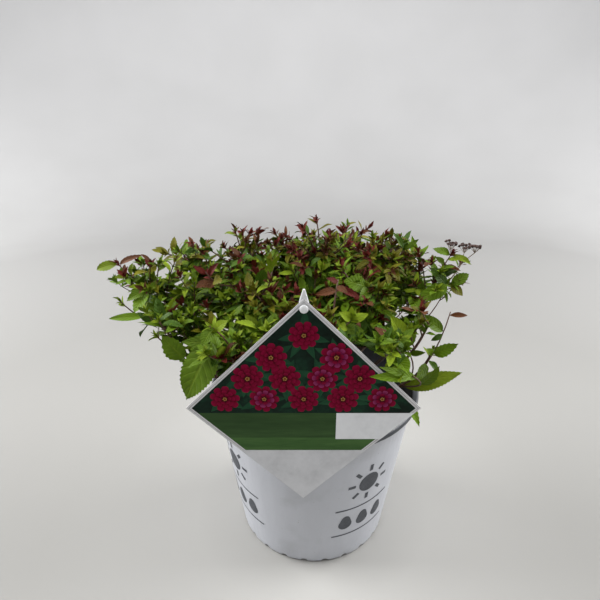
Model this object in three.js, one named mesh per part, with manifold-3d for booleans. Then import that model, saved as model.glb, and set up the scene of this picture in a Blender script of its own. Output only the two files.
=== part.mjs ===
// A young spirea shrub in its nursery pot, with the plant label that stands in the pot.
// Millimetres, +Z up. The origin is the centre of the pot's flat underside, and -Y is the side with the label.
//
// The shrub is a low spreading mound. Each stem leaves the woody base as one tapering bough, and runs on inside
// its own mass of foliage as the leader, which carries upright shoots and their leaves. The masses share the
// crown between them: each keeps to the space that is nearer to its own middle than to any other's.

import * as THREE from "three";
import { mergeVertices } from "three/addons/utils/BufferGeometryUtils.js";
import Module from "manifold-3d";

const GAP = 0.3; // between solids that stand against each other
const CLEARANCE = 0.4; // least distance from a shoot or a leaf to anything that it doesn't grow on
const SLIVER = 0.012; // shortest edge that a joint between a limb and what grows on it may leave
const GOLDEN_ANGLE = Math.PI * (3 - Math.sqrt(5)); // leaf after leaf round a shoot

const POT = {
  height: 148,
  baseRadius: 71,
  lipRadius: 95,
  lipHeight: 5.5,
  lipWidth: 3.8,
  wall: 1.8,
  bossRadius: 18, // flat middle of the underside
  footWidth: 12, // flat ring that the pot stands on
  channelDepth: 2.2, // between the boss and the foot
  notches: 24, // drainage slots through the foot
  notchWidth: 5.4,
  notchHeight: 1.8,
  segments: 32,
};

const SOIL = { level: 126, slope: 2.5, flatRadius: 26 };

const LABEL = {
  side: 117,
  thickness: 0.8,
  centreX: -10.6,
  topZ: 268, // of the upper corner
  backY: -96.6,
  holeDrop: 7, // below the upper corner
  holeRadius: 2.6,
  overhang: 26, // how far in from the edge a leaf may hang in front
};

const STAKE = {
  width: 7,
  thickness: 1.6,
  bottomZ: 92,
  lean: 0.094, // forwards, for each millimetre of height
  tipAboveLabel: 6,
  pegRadius: 2.3,
  capRadius: 3.4,
  capThickness: 1.1,
};

const BASE = { footRadius: 20, neckRadius: 12.5, height: 23, segments: 12 };

const BOUGH = { rootRadius: 2.4, endRadius: 1.5, sides: 6, segments: 4 };
const LEADER = { tipRadius: 1, sides: 4, segments: 3, belowSurface: 21 };
const SHOOT = {
  perLeader: 6,
  radius: 0.95,
  tipRadius: 0.75,
  sides: 3,
  segments: 2,
  shortest: 24,
  longest: 60,
  divergence: THREE.MathUtils.degToRad(62), // from the leader
  belowSurface: 19, // where a shoot ends, below the surface of the mound that its last leaves reach
  roughness: 6, // how far that surface is uneven
  tries: 9, // turns round the leader that are tried for a shoot before it is left out
};
const LEAF = {
  spacing: 11, // along a shoot
  length: 44,
  slenderness: 0.42, // width for each millimetre of length
  thickness: 0.035, // likewise
  widest: 0.42, // share of the length
  fold: 0.03,
  curl: 0.08,
  divergence: THREE.MathUtils.degToRad(54), // from the shoot
  droop: 0.25,
  smallest: 0.55, // of a leaf at the tip of a shoot, against one at its foot
  tries: 14, // turns round the shoot, likewise
};

// Where the stems leave the woody base: how far from its axis, and how high above its foot.
const TIERS = {
  crown: { radius: 0, height: 16 },
  top: { radius: 6.8, height: 15 },
  side: { radius: 9, height: 12.5 },
  foot: { radius: 9, height: 5 },
};

// One row for each stem: the direction that it leaves the pot in, in degrees from +X towards +Y, how far out its
// tip is from the pot's axis, and how high. Arch is how low the stem runs before it turns up: 0 is straight.
const STEMS = [
  { name: "top", tier: "crown", azimuth: 60, reach: 10, tip: 292, arch: 0.0 },
  { name: "inner_left", tier: "top", azimuth: 170, reach: 64, tip: 288, arch: 0.12 },
  { name: "inner_front_left", tier: "top", azimuth: 228, reach: 62, tip: 274, arch: 0.12 },
  { name: "inner_front_right", tier: "top", azimuth: 316, reach: 60, tip: 272, arch: 0.12 },
  { name: "inner_right", tier: "top", azimuth: 8, reach: 60, tip: 284, arch: 0.12 },
  { name: "inner_back_right", tier: "top", azimuth: 62, reach: 62, tip: 282, arch: 0.12 },
  { name: "inner_back_left", tier: "top", azimuth: 118, reach: 62, tip: 284, arch: 0.12 },
  { name: "left", tier: "side", azimuth: 178, reach: 150, tip: 264, arch: 0.3 },
  { name: "left_front", tier: "side", azimuth: 206, reach: 128, tip: 250, arch: 0.3 },
  { name: "front_left", tier: "side", azimuth: 234, reach: 104, tip: 238, arch: 0.26 },
  { name: "front", tier: "side", azimuth: 278, reach: 74, tip: 252, arch: 0.2 },
  { name: "front_right", tier: "side", azimuth: 307, reach: 98, tip: 240, arch: 0.26 },
  { name: "right_front", tier: "side", azimuth: 332, reach: 98, tip: 248, arch: 0.3 },
  { name: "right", tier: "side", azimuth: 2, reach: 105, tip: 270, arch: 0.3 },
  { name: "right_back", tier: "side", azimuth: 32, reach: 114, tip: 270, arch: 0.26 },
  { name: "back_right", tier: "side", azimuth: 62, reach: 120, tip: 264, arch: 0.26 },
  { name: "back", tier: "side", azimuth: 92, reach: 124, tip: 260, arch: 0.26 },
  { name: "back_left", tier: "side", azimuth: 122, reach: 124, tip: 264, arch: 0.26 },
  { name: "left_back", tier: "side", azimuth: 151, reach: 134, tip: 268, arch: 0.26 },
  { name: "low_left", tier: "foot", azimuth: 193, reach: 106, tip: 222, arch: 0.32 },
  { name: "low_right", tier: "foot", azimuth: 346, reach: 102, tip: 214, arch: 0.4 },
];
const FORK = 0.44; // share of a stem that is bare bough, and then its mass begins

const wasm = await Module();
wasm.setup();

// ---------- solids ----------

/** A closed three.js geometry as a manifold-3d solid. */
function solidOf(geometry) {
  const bare = geometry.clone();
  bare.deleteAttribute("normal");
  bare.deleteAttribute("uv");
  const merged = mergeVertices(bare, 1e-4);
  return new wasm.Manifold(
    new wasm.Mesh({
      numProp: 3,
      vertProperties: new Float32Array(merged.attributes.position.array),
      triVerts: new Uint32Array(merged.index.array),
    }),
  );
}

/** A manifold-3d solid as a three.js geometry. */
function geometryOf(solid) {
  const { vertProperties, triVerts } = solid.getMesh();
  const geometry = new THREE.BufferGeometry()
    .setAttribute("position", new THREE.BufferAttribute(vertProperties, 3))
    .setIndex(new THREE.BufferAttribute(triVerts, 1))
    .toNonIndexed();
  geometry.computeVertexNormals();
  return geometry;
}

/** The piece of a solid that holds the most, without loose scraps. */
function largestPiece(solid) {
  return solid.decompose().sort((a, b) => b.volume() - a.volume())[0];
}

/** A closed solid of revolution about Z, from [radius, height] pairs that start and end on the axis. */
function turned(profile, segments) {
  const points = profile.map(([radius, height]) => new THREE.Vector2(radius, height));
  return new THREE.LatheGeometry(points, segments).rotateX(Math.PI / 2);
}

/** A round limb along a curve, tapering from one radius to the other: a cylinder bent to the curve. */
function limb(curve, startRadius, endRadius, sides, segments) {
  const geometry = new THREE.CylinderGeometry(1, 1, 1, sides, segments);
  const frames = curve.computeFrenetFrames(segments);
  const position = geometry.attributes.position;
  for (let i = 0; i < position.count; i++) {
    const ring = Math.round((0.5 - position.getY(i)) * segments);
    const share = ring / segments;
    const radius = THREE.MathUtils.lerp(startRadius, endRadius, share);
    const point = curve
      .getPointAt(share)
      .addScaledVector(frames.normals[ring], position.getX(i) * radius)
      .addScaledVector(frames.binormals[ring], position.getZ(i) * radius);
    position.setXYZ(i, point.x, point.y, point.z);
  }
  return geometry;
}

// ---------- pot, soil and label ----------

const innerRadiusAt = (z) => outerRadiusAt(z) - POT.wall;

/** Outside radius of the pot's wall, below the lip. */
function outerRadiusAt(z) {
  const topRadius = POT.lipRadius - POT.lipWidth;
  return THREE.MathUtils.mapLinear(z, 0, POT.height, POT.baseRadius, topRadius);
}

function makePot() {
  const underLip = POT.height - POT.lipHeight;
  const floor = POT.channelDepth + POT.wall;
  const footInside = POT.baseRadius - POT.footWidth;
  const profile = [
    [0, 0],
    [POT.bossRadius, 0],
    [POT.bossRadius + 2, POT.channelDepth],
    [footInside - 2, POT.channelDepth],
    [footInside, 0],
    [POT.baseRadius - 1.5, 0],
    [outerRadiusAt(1.5), 1.5],
    [outerRadiusAt(underLip), underLip],
    [POT.lipRadius - 0.6, underLip],
    [POT.lipRadius, underLip + 1],
    [POT.lipRadius - 0.3, POT.height - 1.2],
    [POT.lipRadius - 1.4, POT.height],
    [innerRadiusAt(POT.height) + 1.2, POT.height],
    [innerRadiusAt(POT.height - 1.5), POT.height - 1.5],
    [innerRadiusAt(floor), floor],
    [0, floor],
  ];
  const notch = new THREE.BoxGeometry(POT.footWidth + 8, POT.notchWidth, 2 * POT.notchHeight);
  const cuts = Array.from({ length: POT.notches }, (_, i) => {
    const turn = ((i + 0.5) / POT.notches) * 2 * Math.PI;
    return solidOf(
      notch
        .clone()
        .translate(POT.baseRadius - POT.footWidth / 2 + 1, 0, 0)
        .rotateZ(turn),
    );
  });
  return solidOf(turned(profile, POT.segments)).subtract(wasm.Manifold.union(cuts));
}

function makeSoil(stake) {
  const floor = POT.channelDepth + POT.wall + GAP;
  const edge = SOIL.level - SOIL.slope;
  const profile = [
    [0, floor],
    [innerRadiusAt(floor) - 1.2 * GAP, floor],
    [innerRadiusAt(edge) - 1.2 * GAP, edge],
    [SOIL.flatRadius + 20, SOIL.level - 0.8],
    [SOIL.flatRadius, SOIL.level],
    [0, SOIL.level],
  ];
  return solidOf(turned(profile, POT.segments)).subtract(stake);
}

/** Height of the middle of the hole that the label hangs by. */
const pegZ = LABEL.topZ - LABEL.holeDrop;

function makeLabel() {
  const half = LABEL.side / Math.SQRT2;
  const outline = new THREE.Shape([
    new THREE.Vector2(0, half),
    new THREE.Vector2(-half, 0),
    new THREE.Vector2(0, -half),
    new THREE.Vector2(half, 0),
  ]);
  const hole = new THREE.Path().absarc(0, half - LABEL.holeDrop, LABEL.holeRadius, 0, 2 * Math.PI);
  outline.holes.push(hole);
  return new THREE.ExtrudeGeometry(outline, { depth: LABEL.thickness, bevelEnabled: false, curveSegments: 10 })
    .rotateX(Math.PI / 2)
    .translate(LABEL.centreX, LABEL.backY, LABEL.topZ - half);
}

/** The flat bar behind the label with its pointed top, and the peg and cap that the label hangs on. Grown is
 *  extra size all round, for the hole that the bar stands in. */
function makeStake(grown = 0) {
  const topZ = LABEL.topZ + STAKE.tipAboveLabel;
  const barHeight = topZ - STAKE.bottomZ;
  const halfWidth = STAKE.width / 2 + grown;
  const shoulder = barHeight - 9;
  const outline = new THREE.Shape([
    new THREE.Vector2(-halfWidth * 0.4, -grown),
    new THREE.Vector2(halfWidth * 0.4, -grown),
    new THREE.Vector2(halfWidth, 9),
    new THREE.Vector2(halfWidth, shoulder),
    new THREE.Vector2(halfWidth * 0.25, barHeight),
    new THREE.Vector2(-halfWidth * 0.25, barHeight),
    new THREE.Vector2(-halfWidth, shoulder),
    new THREE.Vector2(-halfWidth, 9),
  ]);
  const depth = STAKE.thickness + 2 * grown;
  const frontY = LABEL.backY + GAP; // of the bar, at the label's top corner
  const bar = new THREE.ExtrudeGeometry(outline, { depth, bevelEnabled: false })
    .rotateX(Math.PI / 2)
    .translate(0, STAKE.thickness + grown, STAKE.bottomZ);
  const lean = new THREE.Matrix4().makeShear(0, 0, 0, 0, 0, -STAKE.lean);
  bar.applyMatrix4(lean).translate(LABEL.centreX, frontY + STAKE.lean * LABEL.topZ, 0);
  if (grown) return solidOf(bar);

  const capBackY = LABEL.backY - LABEL.thickness - GAP;
  const pegLength = frontY + STAKE.lean * LABEL.holeDrop + STAKE.thickness / 2 - capBackY;
  const peg = new THREE.CylinderGeometry(STAKE.pegRadius, STAKE.pegRadius, pegLength, 10);
  peg.translate(LABEL.centreX, capBackY + pegLength / 2, pegZ);
  const cap = new THREE.CylinderGeometry(STAKE.capRadius, STAKE.capRadius * 0.8, STAKE.capThickness, 16);
  cap.translate(LABEL.centreX, capBackY - STAKE.capThickness / 2 + 0.01, pegZ);
  return wasm.Manifold.union([bar, peg, cap].map(solidOf));
}

// ---------- woody base and stems ----------

const baseZ = SOIL.level + GAP;

/** The knuckle that the stems grow from, standing on the soil with a flat foot. Grown is extra size all round. */
function makeBase(grown = 0) {
  const { footRadius, neckRadius, height } = BASE;
  const profile = [
    [0, -grown],
    [footRadius + grown, -grown],
    [footRadius * 0.78 + grown, 3.5 + grown],
    [neckRadius + grown, 9 + grown],
    [neckRadius * 0.9 + grown, 15],
    [neckRadius * 0.62 + grown, height - 2.5 + grown],
    [0, height + grown],
  ];
  return solidOf(turned(profile, BASE.segments).translate(0, 0, baseZ));
}

const outwards = (azimuth) => new THREE.Vector3(Math.cos(azimuth), Math.sin(azimuth), 0);

/** The whole line of a stem, from inside the woody base to the tip of its leader. */
function stemCurve({ tier, azimuth, reach, tip, arch }) {
  const away = outwards(THREE.MathUtils.degToRad(azimuth));
  const root = away.clone().multiplyScalar(TIERS[tier].radius);
  root.z = baseZ + TIERS[tier].height;
  const end = away.clone().multiplyScalar(reach);
  end.z = tip - LEADER.belowSurface;
  const bend = away.clone().multiplyScalar(reach * (0.5 + arch));
  bend.z = THREE.MathUtils.lerp(root.z, end.z, 0.5 - arch);
  return new THREE.QuadraticBezierCurve3(root, bend, end);
}

/** The stretch of a Bezier curve between two of its parameters. */
function stretch(curve, from, to) {
  const blossom = (a, b) => {
    const first = curve.v0.clone().lerp(curve.v1, a);
    return first.lerp(curve.v1.clone().lerp(curve.v2, a), b);
  };
  return new THREE.QuadraticBezierCurve3(blossom(from, from), blossom(from, to), blossom(to, to));
}

// ---------- the crown ----------

/** A repeatable number from 0 to 1 for a pair of counters. */
function chance(a, b) {
  const x = Math.sin(a * 12.9898 + b * 78.233) * 43758.5453;
  return x - Math.floor(x);
}

const stems = STEMS.map((row, index) => {
  const curve = stemCurve(row);
  const bough = stretch(curve, 0, FORK);
  const leaderStart = FORK + (GAP / curve.getLength()) * 1.15;
  const leader = stretch(curve, leaderStart, 1);
  const middle = leader.getPoint(0.62);
  return { ...row, index, bough, leader, middle };
});

/** Height of the mound's surface over a point, from the stems whose tips are near it. */
function moundHeight(x, y) {
  let sum = 0;
  let weights = 0;
  for (const { leader, tier, tip } of stems) {
    if (tier === "foot") continue;
    const away = (leader.v2.x - x) ** 2 + (leader.v2.y - y) ** 2;
    const weight = 1 / (away + 22 ** 2) ** 2;
    sum += weight * tip;
    weights += weight;
  }
  return sum / weights;
}

/** How far a point lies inside the space of a mass: its distance to the nearest wall shared with another. */
function depthInCell(point, stem) {
  let depth = Infinity;
  for (const other of stems) {
    if (other === stem) continue;
    const across = stem.middle.clone().sub(other.middle);
    const wall = stem.middle.clone().add(other.middle).multiplyScalar(0.5);
    depth = Math.min(depth, point.clone().sub(wall).dot(across) / across.length());
  }
  return depth;
}

/** True if a point is clear of the pot's wall and lip, of the soil, and of the label and its stake. Leaves may
 *  hang over the edge of the label on one side only. */
function clearOfPot(point) {
  const room = 2.5;
  const radius = Math.hypot(point.x, point.y);
  if (point.z < SOIL.level + room) return false;
  if (point.z < POT.height + room && radius > innerRadiusAt(POT.height) - room) return false;
  const half = LABEL.side / Math.SQRT2;
  const across = point.x - LABEL.centreX;
  const pastEdge = Math.abs(across) + Math.abs(point.z - LABEL.topZ + half) - half;
  const behindLabel = point.y > LABEL.backY + room;
  const overEdge = point.y < LABEL.backY - LABEL.thickness - 1 && across > 0 && pastEdge > -LABEL.overhang;
  if (pastEdge < room && !behindLabel && !overEdge) return false;
  const stakeY = LABEL.backY + (LABEL.topZ - point.z) * STAKE.lean;
  const besideStake = Math.abs(across) > STAKE.width / 2 + room;
  return besideStake || point.y > stakeY + STAKE.thickness + room || point.z > LABEL.topZ + STAKE.tipAboveLabel;
}

/** True if a ball of this radius about a point keeps to the mass's own space. */
function hasRoom(point, radius, stem) {
  return depthInCell(point, stem) >= radius + GAP && clearOfPot(point);
}

/** A direction that leans from an axis by an angle, turned round it. */
function leaning(axis, angle, turn) {
  const level = new THREE.Vector3(0, 0, 1).cross(axis);
  if (level.lengthSq() < 1e-4) level.set(1, 0, 0);
  level.normalize();
  const over = axis.clone().cross(level);
  const radial = level.multiplyScalar(Math.cos(turn)).addScaledVector(over, Math.sin(turn));
  return axis.clone().multiplyScalar(Math.cos(angle)).addScaledVector(radial, Math.sin(angle)).normalize();
}

/** A point on the axis of a limb, which runs straight from ring to ring, and the limb's direction there. */
function alongLimb(curve, segments, share) {
  const ring = Math.min(Math.floor(share * segments), segments - 1);
  const [a, b] = [ring, ring + 1].map((i) => curve.getPointAt(i / segments));
  return { point: a.clone().lerp(b, share * segments - ring), axis: b.sub(a).normalize() };
}

/** The line of one upright shoot: it leaves the leader at an angle, then turns up to the top of the mound. */
function shootCurve(stem, number, turn) {
  const { index, leader, tier, tip } = stem;
  const share = (number + 0.1 + 0.5 * chance(index, 10 + number)) / (SHOOT.perLeader - 0.2);
  const { point: start, axis } = alongLimb(leader, LEADER.segments, share);
  const heading = leaning(axis, SHOOT.divergence, turn);
  heading.z = Math.max(heading.z, 0.1);
  heading.normalize();
  const top = tier === "foot" ? tip : moundHeight(start.x + 25 * heading.x, start.y + 25 * heading.y);
  const unevenness = SHOOT.roughness * (2 * chance(index, 30 + number) - 1);
  const rise = top - SHOOT.belowSurface - start.z + unevenness;
  const length = THREE.MathUtils.clamp(rise * 1.1, SHOOT.shortest, SHOOT.longest);
  const bend = start.clone().addScaledVector(heading, 0.5 * length);
  const upwards = heading.clone().multiplyScalar(0.7).add(new THREE.Vector3(0, 0, 1)).normalize();
  return new THREE.QuadraticBezierCurve3(start, bend, bend.clone().addScaledVector(upwards, 0.55 * length));
}

/** Where the leaves sit along a limb: [share of its length, size, turn round it]. */
function leafPlaces({ curve, from }, seed) {
  const count = Math.max(3, Math.round((curve.getLength() * (1 - from)) / LEAF.spacing));
  return Array.from({ length: count }, (_, i) => {
    const share = Math.min(0.97, (i + 0.7) / (count - 0.3));
    const size = THREE.MathUtils.lerp(1, LEAF.smallest, share) * (0.88 + 0.24 * chance(seed, i));
    return [THREE.MathUtils.lerp(from, 1, share), size, GOLDEN_ANGLE * i + 2 * Math.PI * chance(seed, 99)];
  });
}

/** A thin pointed blade with six faces, from its root inside the shoot: its cross-section is a flat triangle
 *  with the two edges of the leaf above and the rib below. */
function leafGeometry({ root, direction, side, length }) {
  const normal = side.clone().cross(direction);
  const width = length * LEAF.slenderness;
  const corners = [
    [0, 0, 0],
    [-width / 2, LEAF.widest * length, LEAF.fold * length],
    [width / 2, LEAF.widest * length, LEAF.fold * length],
    [0, LEAF.widest * length, -LEAF.thickness * length],
    [0, length, -LEAF.curl * length],
  ];
  const position = corners.flatMap(([across, along, up]) =>
    root
      .clone()
      .addScaledVector(side, across)
      .addScaledVector(direction, along)
      .addScaledVector(normal, up)
      .toArray(),
  );
  return new THREE.BufferGeometry()
    .setAttribute("position", new THREE.Float32BufferAttribute(position, 3))
    .setIndex([0, 2, 1, 0, 1, 3, 0, 3, 2, 4, 1, 2, 4, 3, 1, 4, 2, 3]);
}

/** One leaf on a limb. */
function leafAt({ curve, segments }, share, size, turn) {
  const { point: root, axis } = alongLimb(curve, segments, share);
  const direction = leaning(axis, LEAF.divergence * (1.12 - 0.6 * share), turn);
  direction.z -= LEAF.droop * (1 - share);
  direction.normalize();
  const side = direction.clone().cross(axis).normalize();
  return { root, direction, side, length: LEAF.length * size };
}

/** The leader of a stem, which its mass grows on. */
function makeLeader({ leader }) {
  return solidOf(limb(leader, BOUGH.endRadius, LEADER.tipRadius, LEADER.sides, LEADER.segments));
}

/** True if a leaf keeps to the mass's own space. */
function leafFits({ root, direction, side, length }, stem) {
  const halfWidth = (length * LEAF.slenderness) / 2;
  const middle = root.clone().addScaledVector(direction, LEAF.widest * length);
  const edges = [1, -1].map((hand) => middle.clone().addScaledVector(side, hand * halfWidth));
  const end = root.clone().addScaledVector(direction, length);
  return [middle, end, ...edges].every((point) => hasRoom(point, 1, stem));
}

/** True if two solids meet only near a point, or not at all. */
function meetOnlyNear(one, other, point, distance) {
  const common = one.intersect(other);
  if (common.isEmpty()) return true;
  const { min, max } = common.boundingBox();
  const box = new THREE.Box3(new THREE.Vector3(...min), new THREE.Vector3(...max));
  const around = new THREE.Box3(point.clone(), point.clone()).expandByScalar(distance);
  return around.containsBox(box);
}

/** True if a solid has an edge that is too short to keep. */
function hasSliver(solid) {
  const { vertProperties, triVerts } = solid.getMesh();
  const corner = (i) => new THREE.Vector3().fromArray(vertProperties, 3 * triVerts[i]);
  for (let i = 0; i < triVerts.length; i++) {
    const next = i % 3 === 2 ? i - 2 : i + 1;
    if (corner(i).distanceTo(corner(next)) < SLIVER) return true;
  }
  return false;
}

/** True if a solid keeps its distance from every one of some others. */
function clearOfAll(solid, others) {
  return others.every((other) => solid.minGap(other, CLEARANCE) >= CLEARANCE);
}

/** One mass of foliage: the leader that runs on from the bough, its shoots, and the leaves on them all. */
function makeFoliage(stem, others) {
  const { leader, index } = stem;
  const limbs = [{ curve: leader, segments: LEADER.segments, from: 0.35 }];
  let wood = makeLeader(stem);
  for (let number = 0; number < SHOOT.perLeader; number++) {
    for (let attempt = 0; attempt < SHOOT.tries; attempt++) {
      const turn = GOLDEN_ANGLE * (number + 1.7 * attempt) + 2 * Math.PI * chance(index, 3);
      const curve = shootCurve(stem, number, turn);
      const points = [0.3, 0.6, 1].map((share) => curve.getPoint(share));
      if (!points.every((point) => hasRoom(point, SHOOT.radius + 1.5, stem))) continue;
      const twig = solidOf(limb(curve, SHOOT.radius, SHOOT.tipRadius, SHOOT.sides, SHOOT.segments));
      if (!meetOnlyNear(twig, wood, curve.v0, 4) || !clearOfAll(twig, others)) continue;
      if (hasSliver(wood.add(twig))) continue;
      wood = wood.add(twig);
      limbs.push({ curve, segments: SHOOT.segments, from: 0 });
      break;
    }
  }
  const leaves = [];
  limbs.forEach((grown, number) => {
    for (const [share, size, turn] of leafPlaces(grown, 20 * index + number)) {
      for (let attempt = 0; attempt < LEAF.tries; attempt++) {
        const leaf = leafAt(grown, share, size * (1 - 0.03 * attempt), turn + 2.2 * attempt);
        if (!leafFits(leaf, stem)) continue;
        const blade = solidOf(leafGeometry(leaf));
        if (!meetOnlyNear(blade, wood, leaf.root, 2.2) || !clearOfAll(blade, [...leaves, ...others])) continue;
        if (hasSliver(wood.add(blade))) continue;
        leaves.push(blade);
        break;
      }
    }
  });
  return largestPiece(wasm.Manifold.union([wood, ...leaves]));
}

// ---------- the assembly ----------

const MATERIALS = {
  potPlastic: new THREE.MeshStandardMaterial({ color: 0xe4e6ec, roughness: 0.45 }),
  soil: new THREE.MeshStandardMaterial({ color: 0x2a1f18, roughness: 1 }),
  labelCard: new THREE.MeshStandardMaterial({ color: 0x7c2234, roughness: 0.35 }),
  stakePlastic: new THREE.MeshStandardMaterial({ color: 0xf2f2f0, roughness: 0.5 }),
  bark: new THREE.MeshStandardMaterial({ color: 0x4a2e22, roughness: 0.85 }),
  leaf: new THREE.MeshStandardMaterial({ color: 0x4f7d22, roughness: 0.6 }),
};

const shrub = new THREE.Group();

function addNode(name, solid, material) {
  const mesh = new THREE.Mesh(geometryOf(solid), material);
  mesh.name = name;
  shrub.add(mesh);
}

const pot = makePot();
const soil = makeSoil(makeStake(GAP));
const labelCard = solidOf(makeLabel());
const labelStake = makeStake();
const seat = makeBase(GAP);
const boughs = stems.map(({ bough }) => {
  const { rootRadius, endRadius, sides, segments } = BOUGH;
  return largestPiece(solidOf(limb(bough, rootRadius, endRadius, sides, segments)).subtract(seat));
});
const crown = stems.map(makeLeader);
for (const stem of stems) {
  const others = [...boughs, ...crown.filter((_, i) => i !== stem.index), labelCard, labelStake, pot];
  crown[stem.index] = makeFoliage(stem, others);
}

addNode("pot", pot, MATERIALS.potPlastic);
addNode("soil", soil, MATERIALS.soil);
addNode("label_card", labelCard, MATERIALS.labelCard);
addNode("label_stake", labelStake, MATERIALS.stakePlastic);
addNode("woody_base", makeBase(), MATERIALS.bark);
for (const { name, index } of stems) {
  addNode(`stem_${name}`, boughs[index], MATERIALS.bark);
  addNode(`foliage_${name}`, crown[index], MATERIALS.leaf);
}

export default shrub;
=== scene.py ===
"""A young spirea shrub in its nursery pot, with the plant label that stands in the pot: how it looks.

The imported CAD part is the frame. The crown grows here again by the rule of the part's source, from the same
stems, and is carried on to finer twigs and smaller leaves. Sizes are millimetres, as in that source, until a
mesh is made in metres. +Z is up, and -Y is the side with the label.
"""

import math
from types import SimpleNamespace as Sizes

import bpy
import numpy as np
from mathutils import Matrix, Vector, noise


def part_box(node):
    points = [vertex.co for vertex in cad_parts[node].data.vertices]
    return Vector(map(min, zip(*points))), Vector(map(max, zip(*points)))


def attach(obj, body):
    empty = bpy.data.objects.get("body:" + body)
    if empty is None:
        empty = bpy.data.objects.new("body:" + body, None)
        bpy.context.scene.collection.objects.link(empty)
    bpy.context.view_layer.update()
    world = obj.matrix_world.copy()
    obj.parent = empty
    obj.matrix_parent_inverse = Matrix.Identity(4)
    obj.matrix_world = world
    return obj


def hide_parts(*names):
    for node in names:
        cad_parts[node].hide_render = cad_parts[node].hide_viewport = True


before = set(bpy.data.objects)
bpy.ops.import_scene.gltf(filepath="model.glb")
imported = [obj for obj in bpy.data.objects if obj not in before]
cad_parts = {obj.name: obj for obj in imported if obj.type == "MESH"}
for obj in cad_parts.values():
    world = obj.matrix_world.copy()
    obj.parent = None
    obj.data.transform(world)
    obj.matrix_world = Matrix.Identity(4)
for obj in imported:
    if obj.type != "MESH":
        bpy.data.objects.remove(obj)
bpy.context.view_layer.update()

MM = 0.001
TURN = 2 * math.pi
DIAGONAL = math.sqrt(2)
GOLDEN_ANGLE = math.pi * (3 - math.sqrt(5))  # from leaf to leaf round a shoot
UP = Vector((0, 0, 1))
FRONT = Vector((0, -1, 0))
TINY = 0.01  # radius or width of what closes to a point


def box_mm(node):
    low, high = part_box(node)
    return low / MM, high / MM


_, pot_high = box_mm("pot")
POT = Sizes(
    height=pot_high.z,
    base_radius=71,
    lip_radius=pot_high.x,
    lip_height=5.5,
    lip_width=3.8,
    roll=1.5,  # radius of the lip's round edges
    wall=1.8,
    foot_round=1.5,
    rows=(4.2, 6, 30, 60, 90, 120),  # heights of the wall's corners
    boss_radius=18,
    foot_width=12,
    channel_depth=2.2,
    notches=24,
    notch_width=7,
    notch_height=3,
)

# The care signs that are printed on the pot: a sun with rays, and three drops between two rules.
SIGNS = Sizes(
    copies=4,
    azimuth=302,
    proud=0.12,  # of the pot's wall
    sun_z=94,
    sun_radius=10,
    rays=8,
    ray_ends=(13.2, 20),  # from the sun's middle
    ray_width=3.2,
    rule_heights=(67, 34),
    rule_half=28,
    rule_width=1.6,
    drop_z=48,
    drop_places=(-17, 0, 17),
    drop_radius=6.3,
    drop_point=0.75,  # how much further a drop reaches at its top
)

soil_low, soil_high = box_mm("soil")
SOIL = Sizes(level=soil_high.z, floor=soil_low.z, gap=0.4, slope=2.5, flat_radius=26, rings=44, sides=132)
CHIPS = Sizes(count=900, length=(2, 8), width=(1, 3), thickness=(0.5, 1.3), tilt=0.35)

card_low, card_high = box_mm("label_card")
LABEL = Sizes(
    half=(card_high.z - card_low.z) / 2,  # from the middle to a corner
    centre_x=(card_low.x + card_high.x) / 2,
    centre_z=(card_low.z + card_high.z) / 2,
    front_y=card_low.y,
    back_y=card_high.y,
    top_z=card_high.z,
    peg_z=card_high.z - 7,
    hole_radius=2.6,
    sides=64,  # of the card's outline and of its hole
    edge=0.25,  # how far its edges are softened, in millimetres and as a share of its thickness
    border=2.9,
    margin=0.4,  # of the bare fields
    picture_z=181.3,  # lower edge of the picture, which is the upper edge of the green band
    band_z=160,  # where the dark band meets the light one
    foot_z=148.8,
    box_x=23.2,  # left edge of the grey box, from the card's middle
    rims=(0.9, 3.1),  # from the card's edge to each of the fine lines round the picture
    rim_width=0.55,
    layer=0.07,  # thickness of each layer of print
)
LABEL.inner = LABEL.half - LABEL.border * DIAGONAL  # from the middle to a corner of the printed frame

BLOOM = Sizes(radius=11.4, row_step=16.4, pitch=2.02, leaves=7, leaf_width=0.5, scallop=0.24)
PETAL_RINGS = [  # share of the bloom's radius, petals, turn, colour, and the colour in every third bloom
    (1, 9, 0, "crimson", "crimson"),
    (0.68, 8, 0.4, "crimson", "rose"),
    (0.42, 6, 0.9, "crimson", "crimson"),
    (0.14, 5, 0, "eye", "eye"),
]

stake_low, stake_high = box_mm("label_stake")
STAKE = Sizes(
    width=7,
    thickness=1.6,
    bottom_z=stake_low.z,
    top_z=stake_high.z,
    taper=9,  # height of each tapered end
    edge=0.35,
    lean=0.094,
    gap=0.3,  # from the card to the bar, and to the button
)
BUTTON = Sizes(radius=2.9, peg_radius=2.3, peg_length=6, rim=0.35, dome=0.75, sides=36)

# The stool: its turned outline as (share of the radius, height), and how uneven it is.
BASE = Sizes(
    z=SOIL.level + 0.3,
    radius=20,
    rows=[(1, 0), (0.94, 1.2), (0.78, 3.5), (0.66, 9), (0.6, 15), (0.42, 20.5), (0.2, 22.6), (0.01, 23)],
    sides=60,
    flare=0.22,
)

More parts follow.
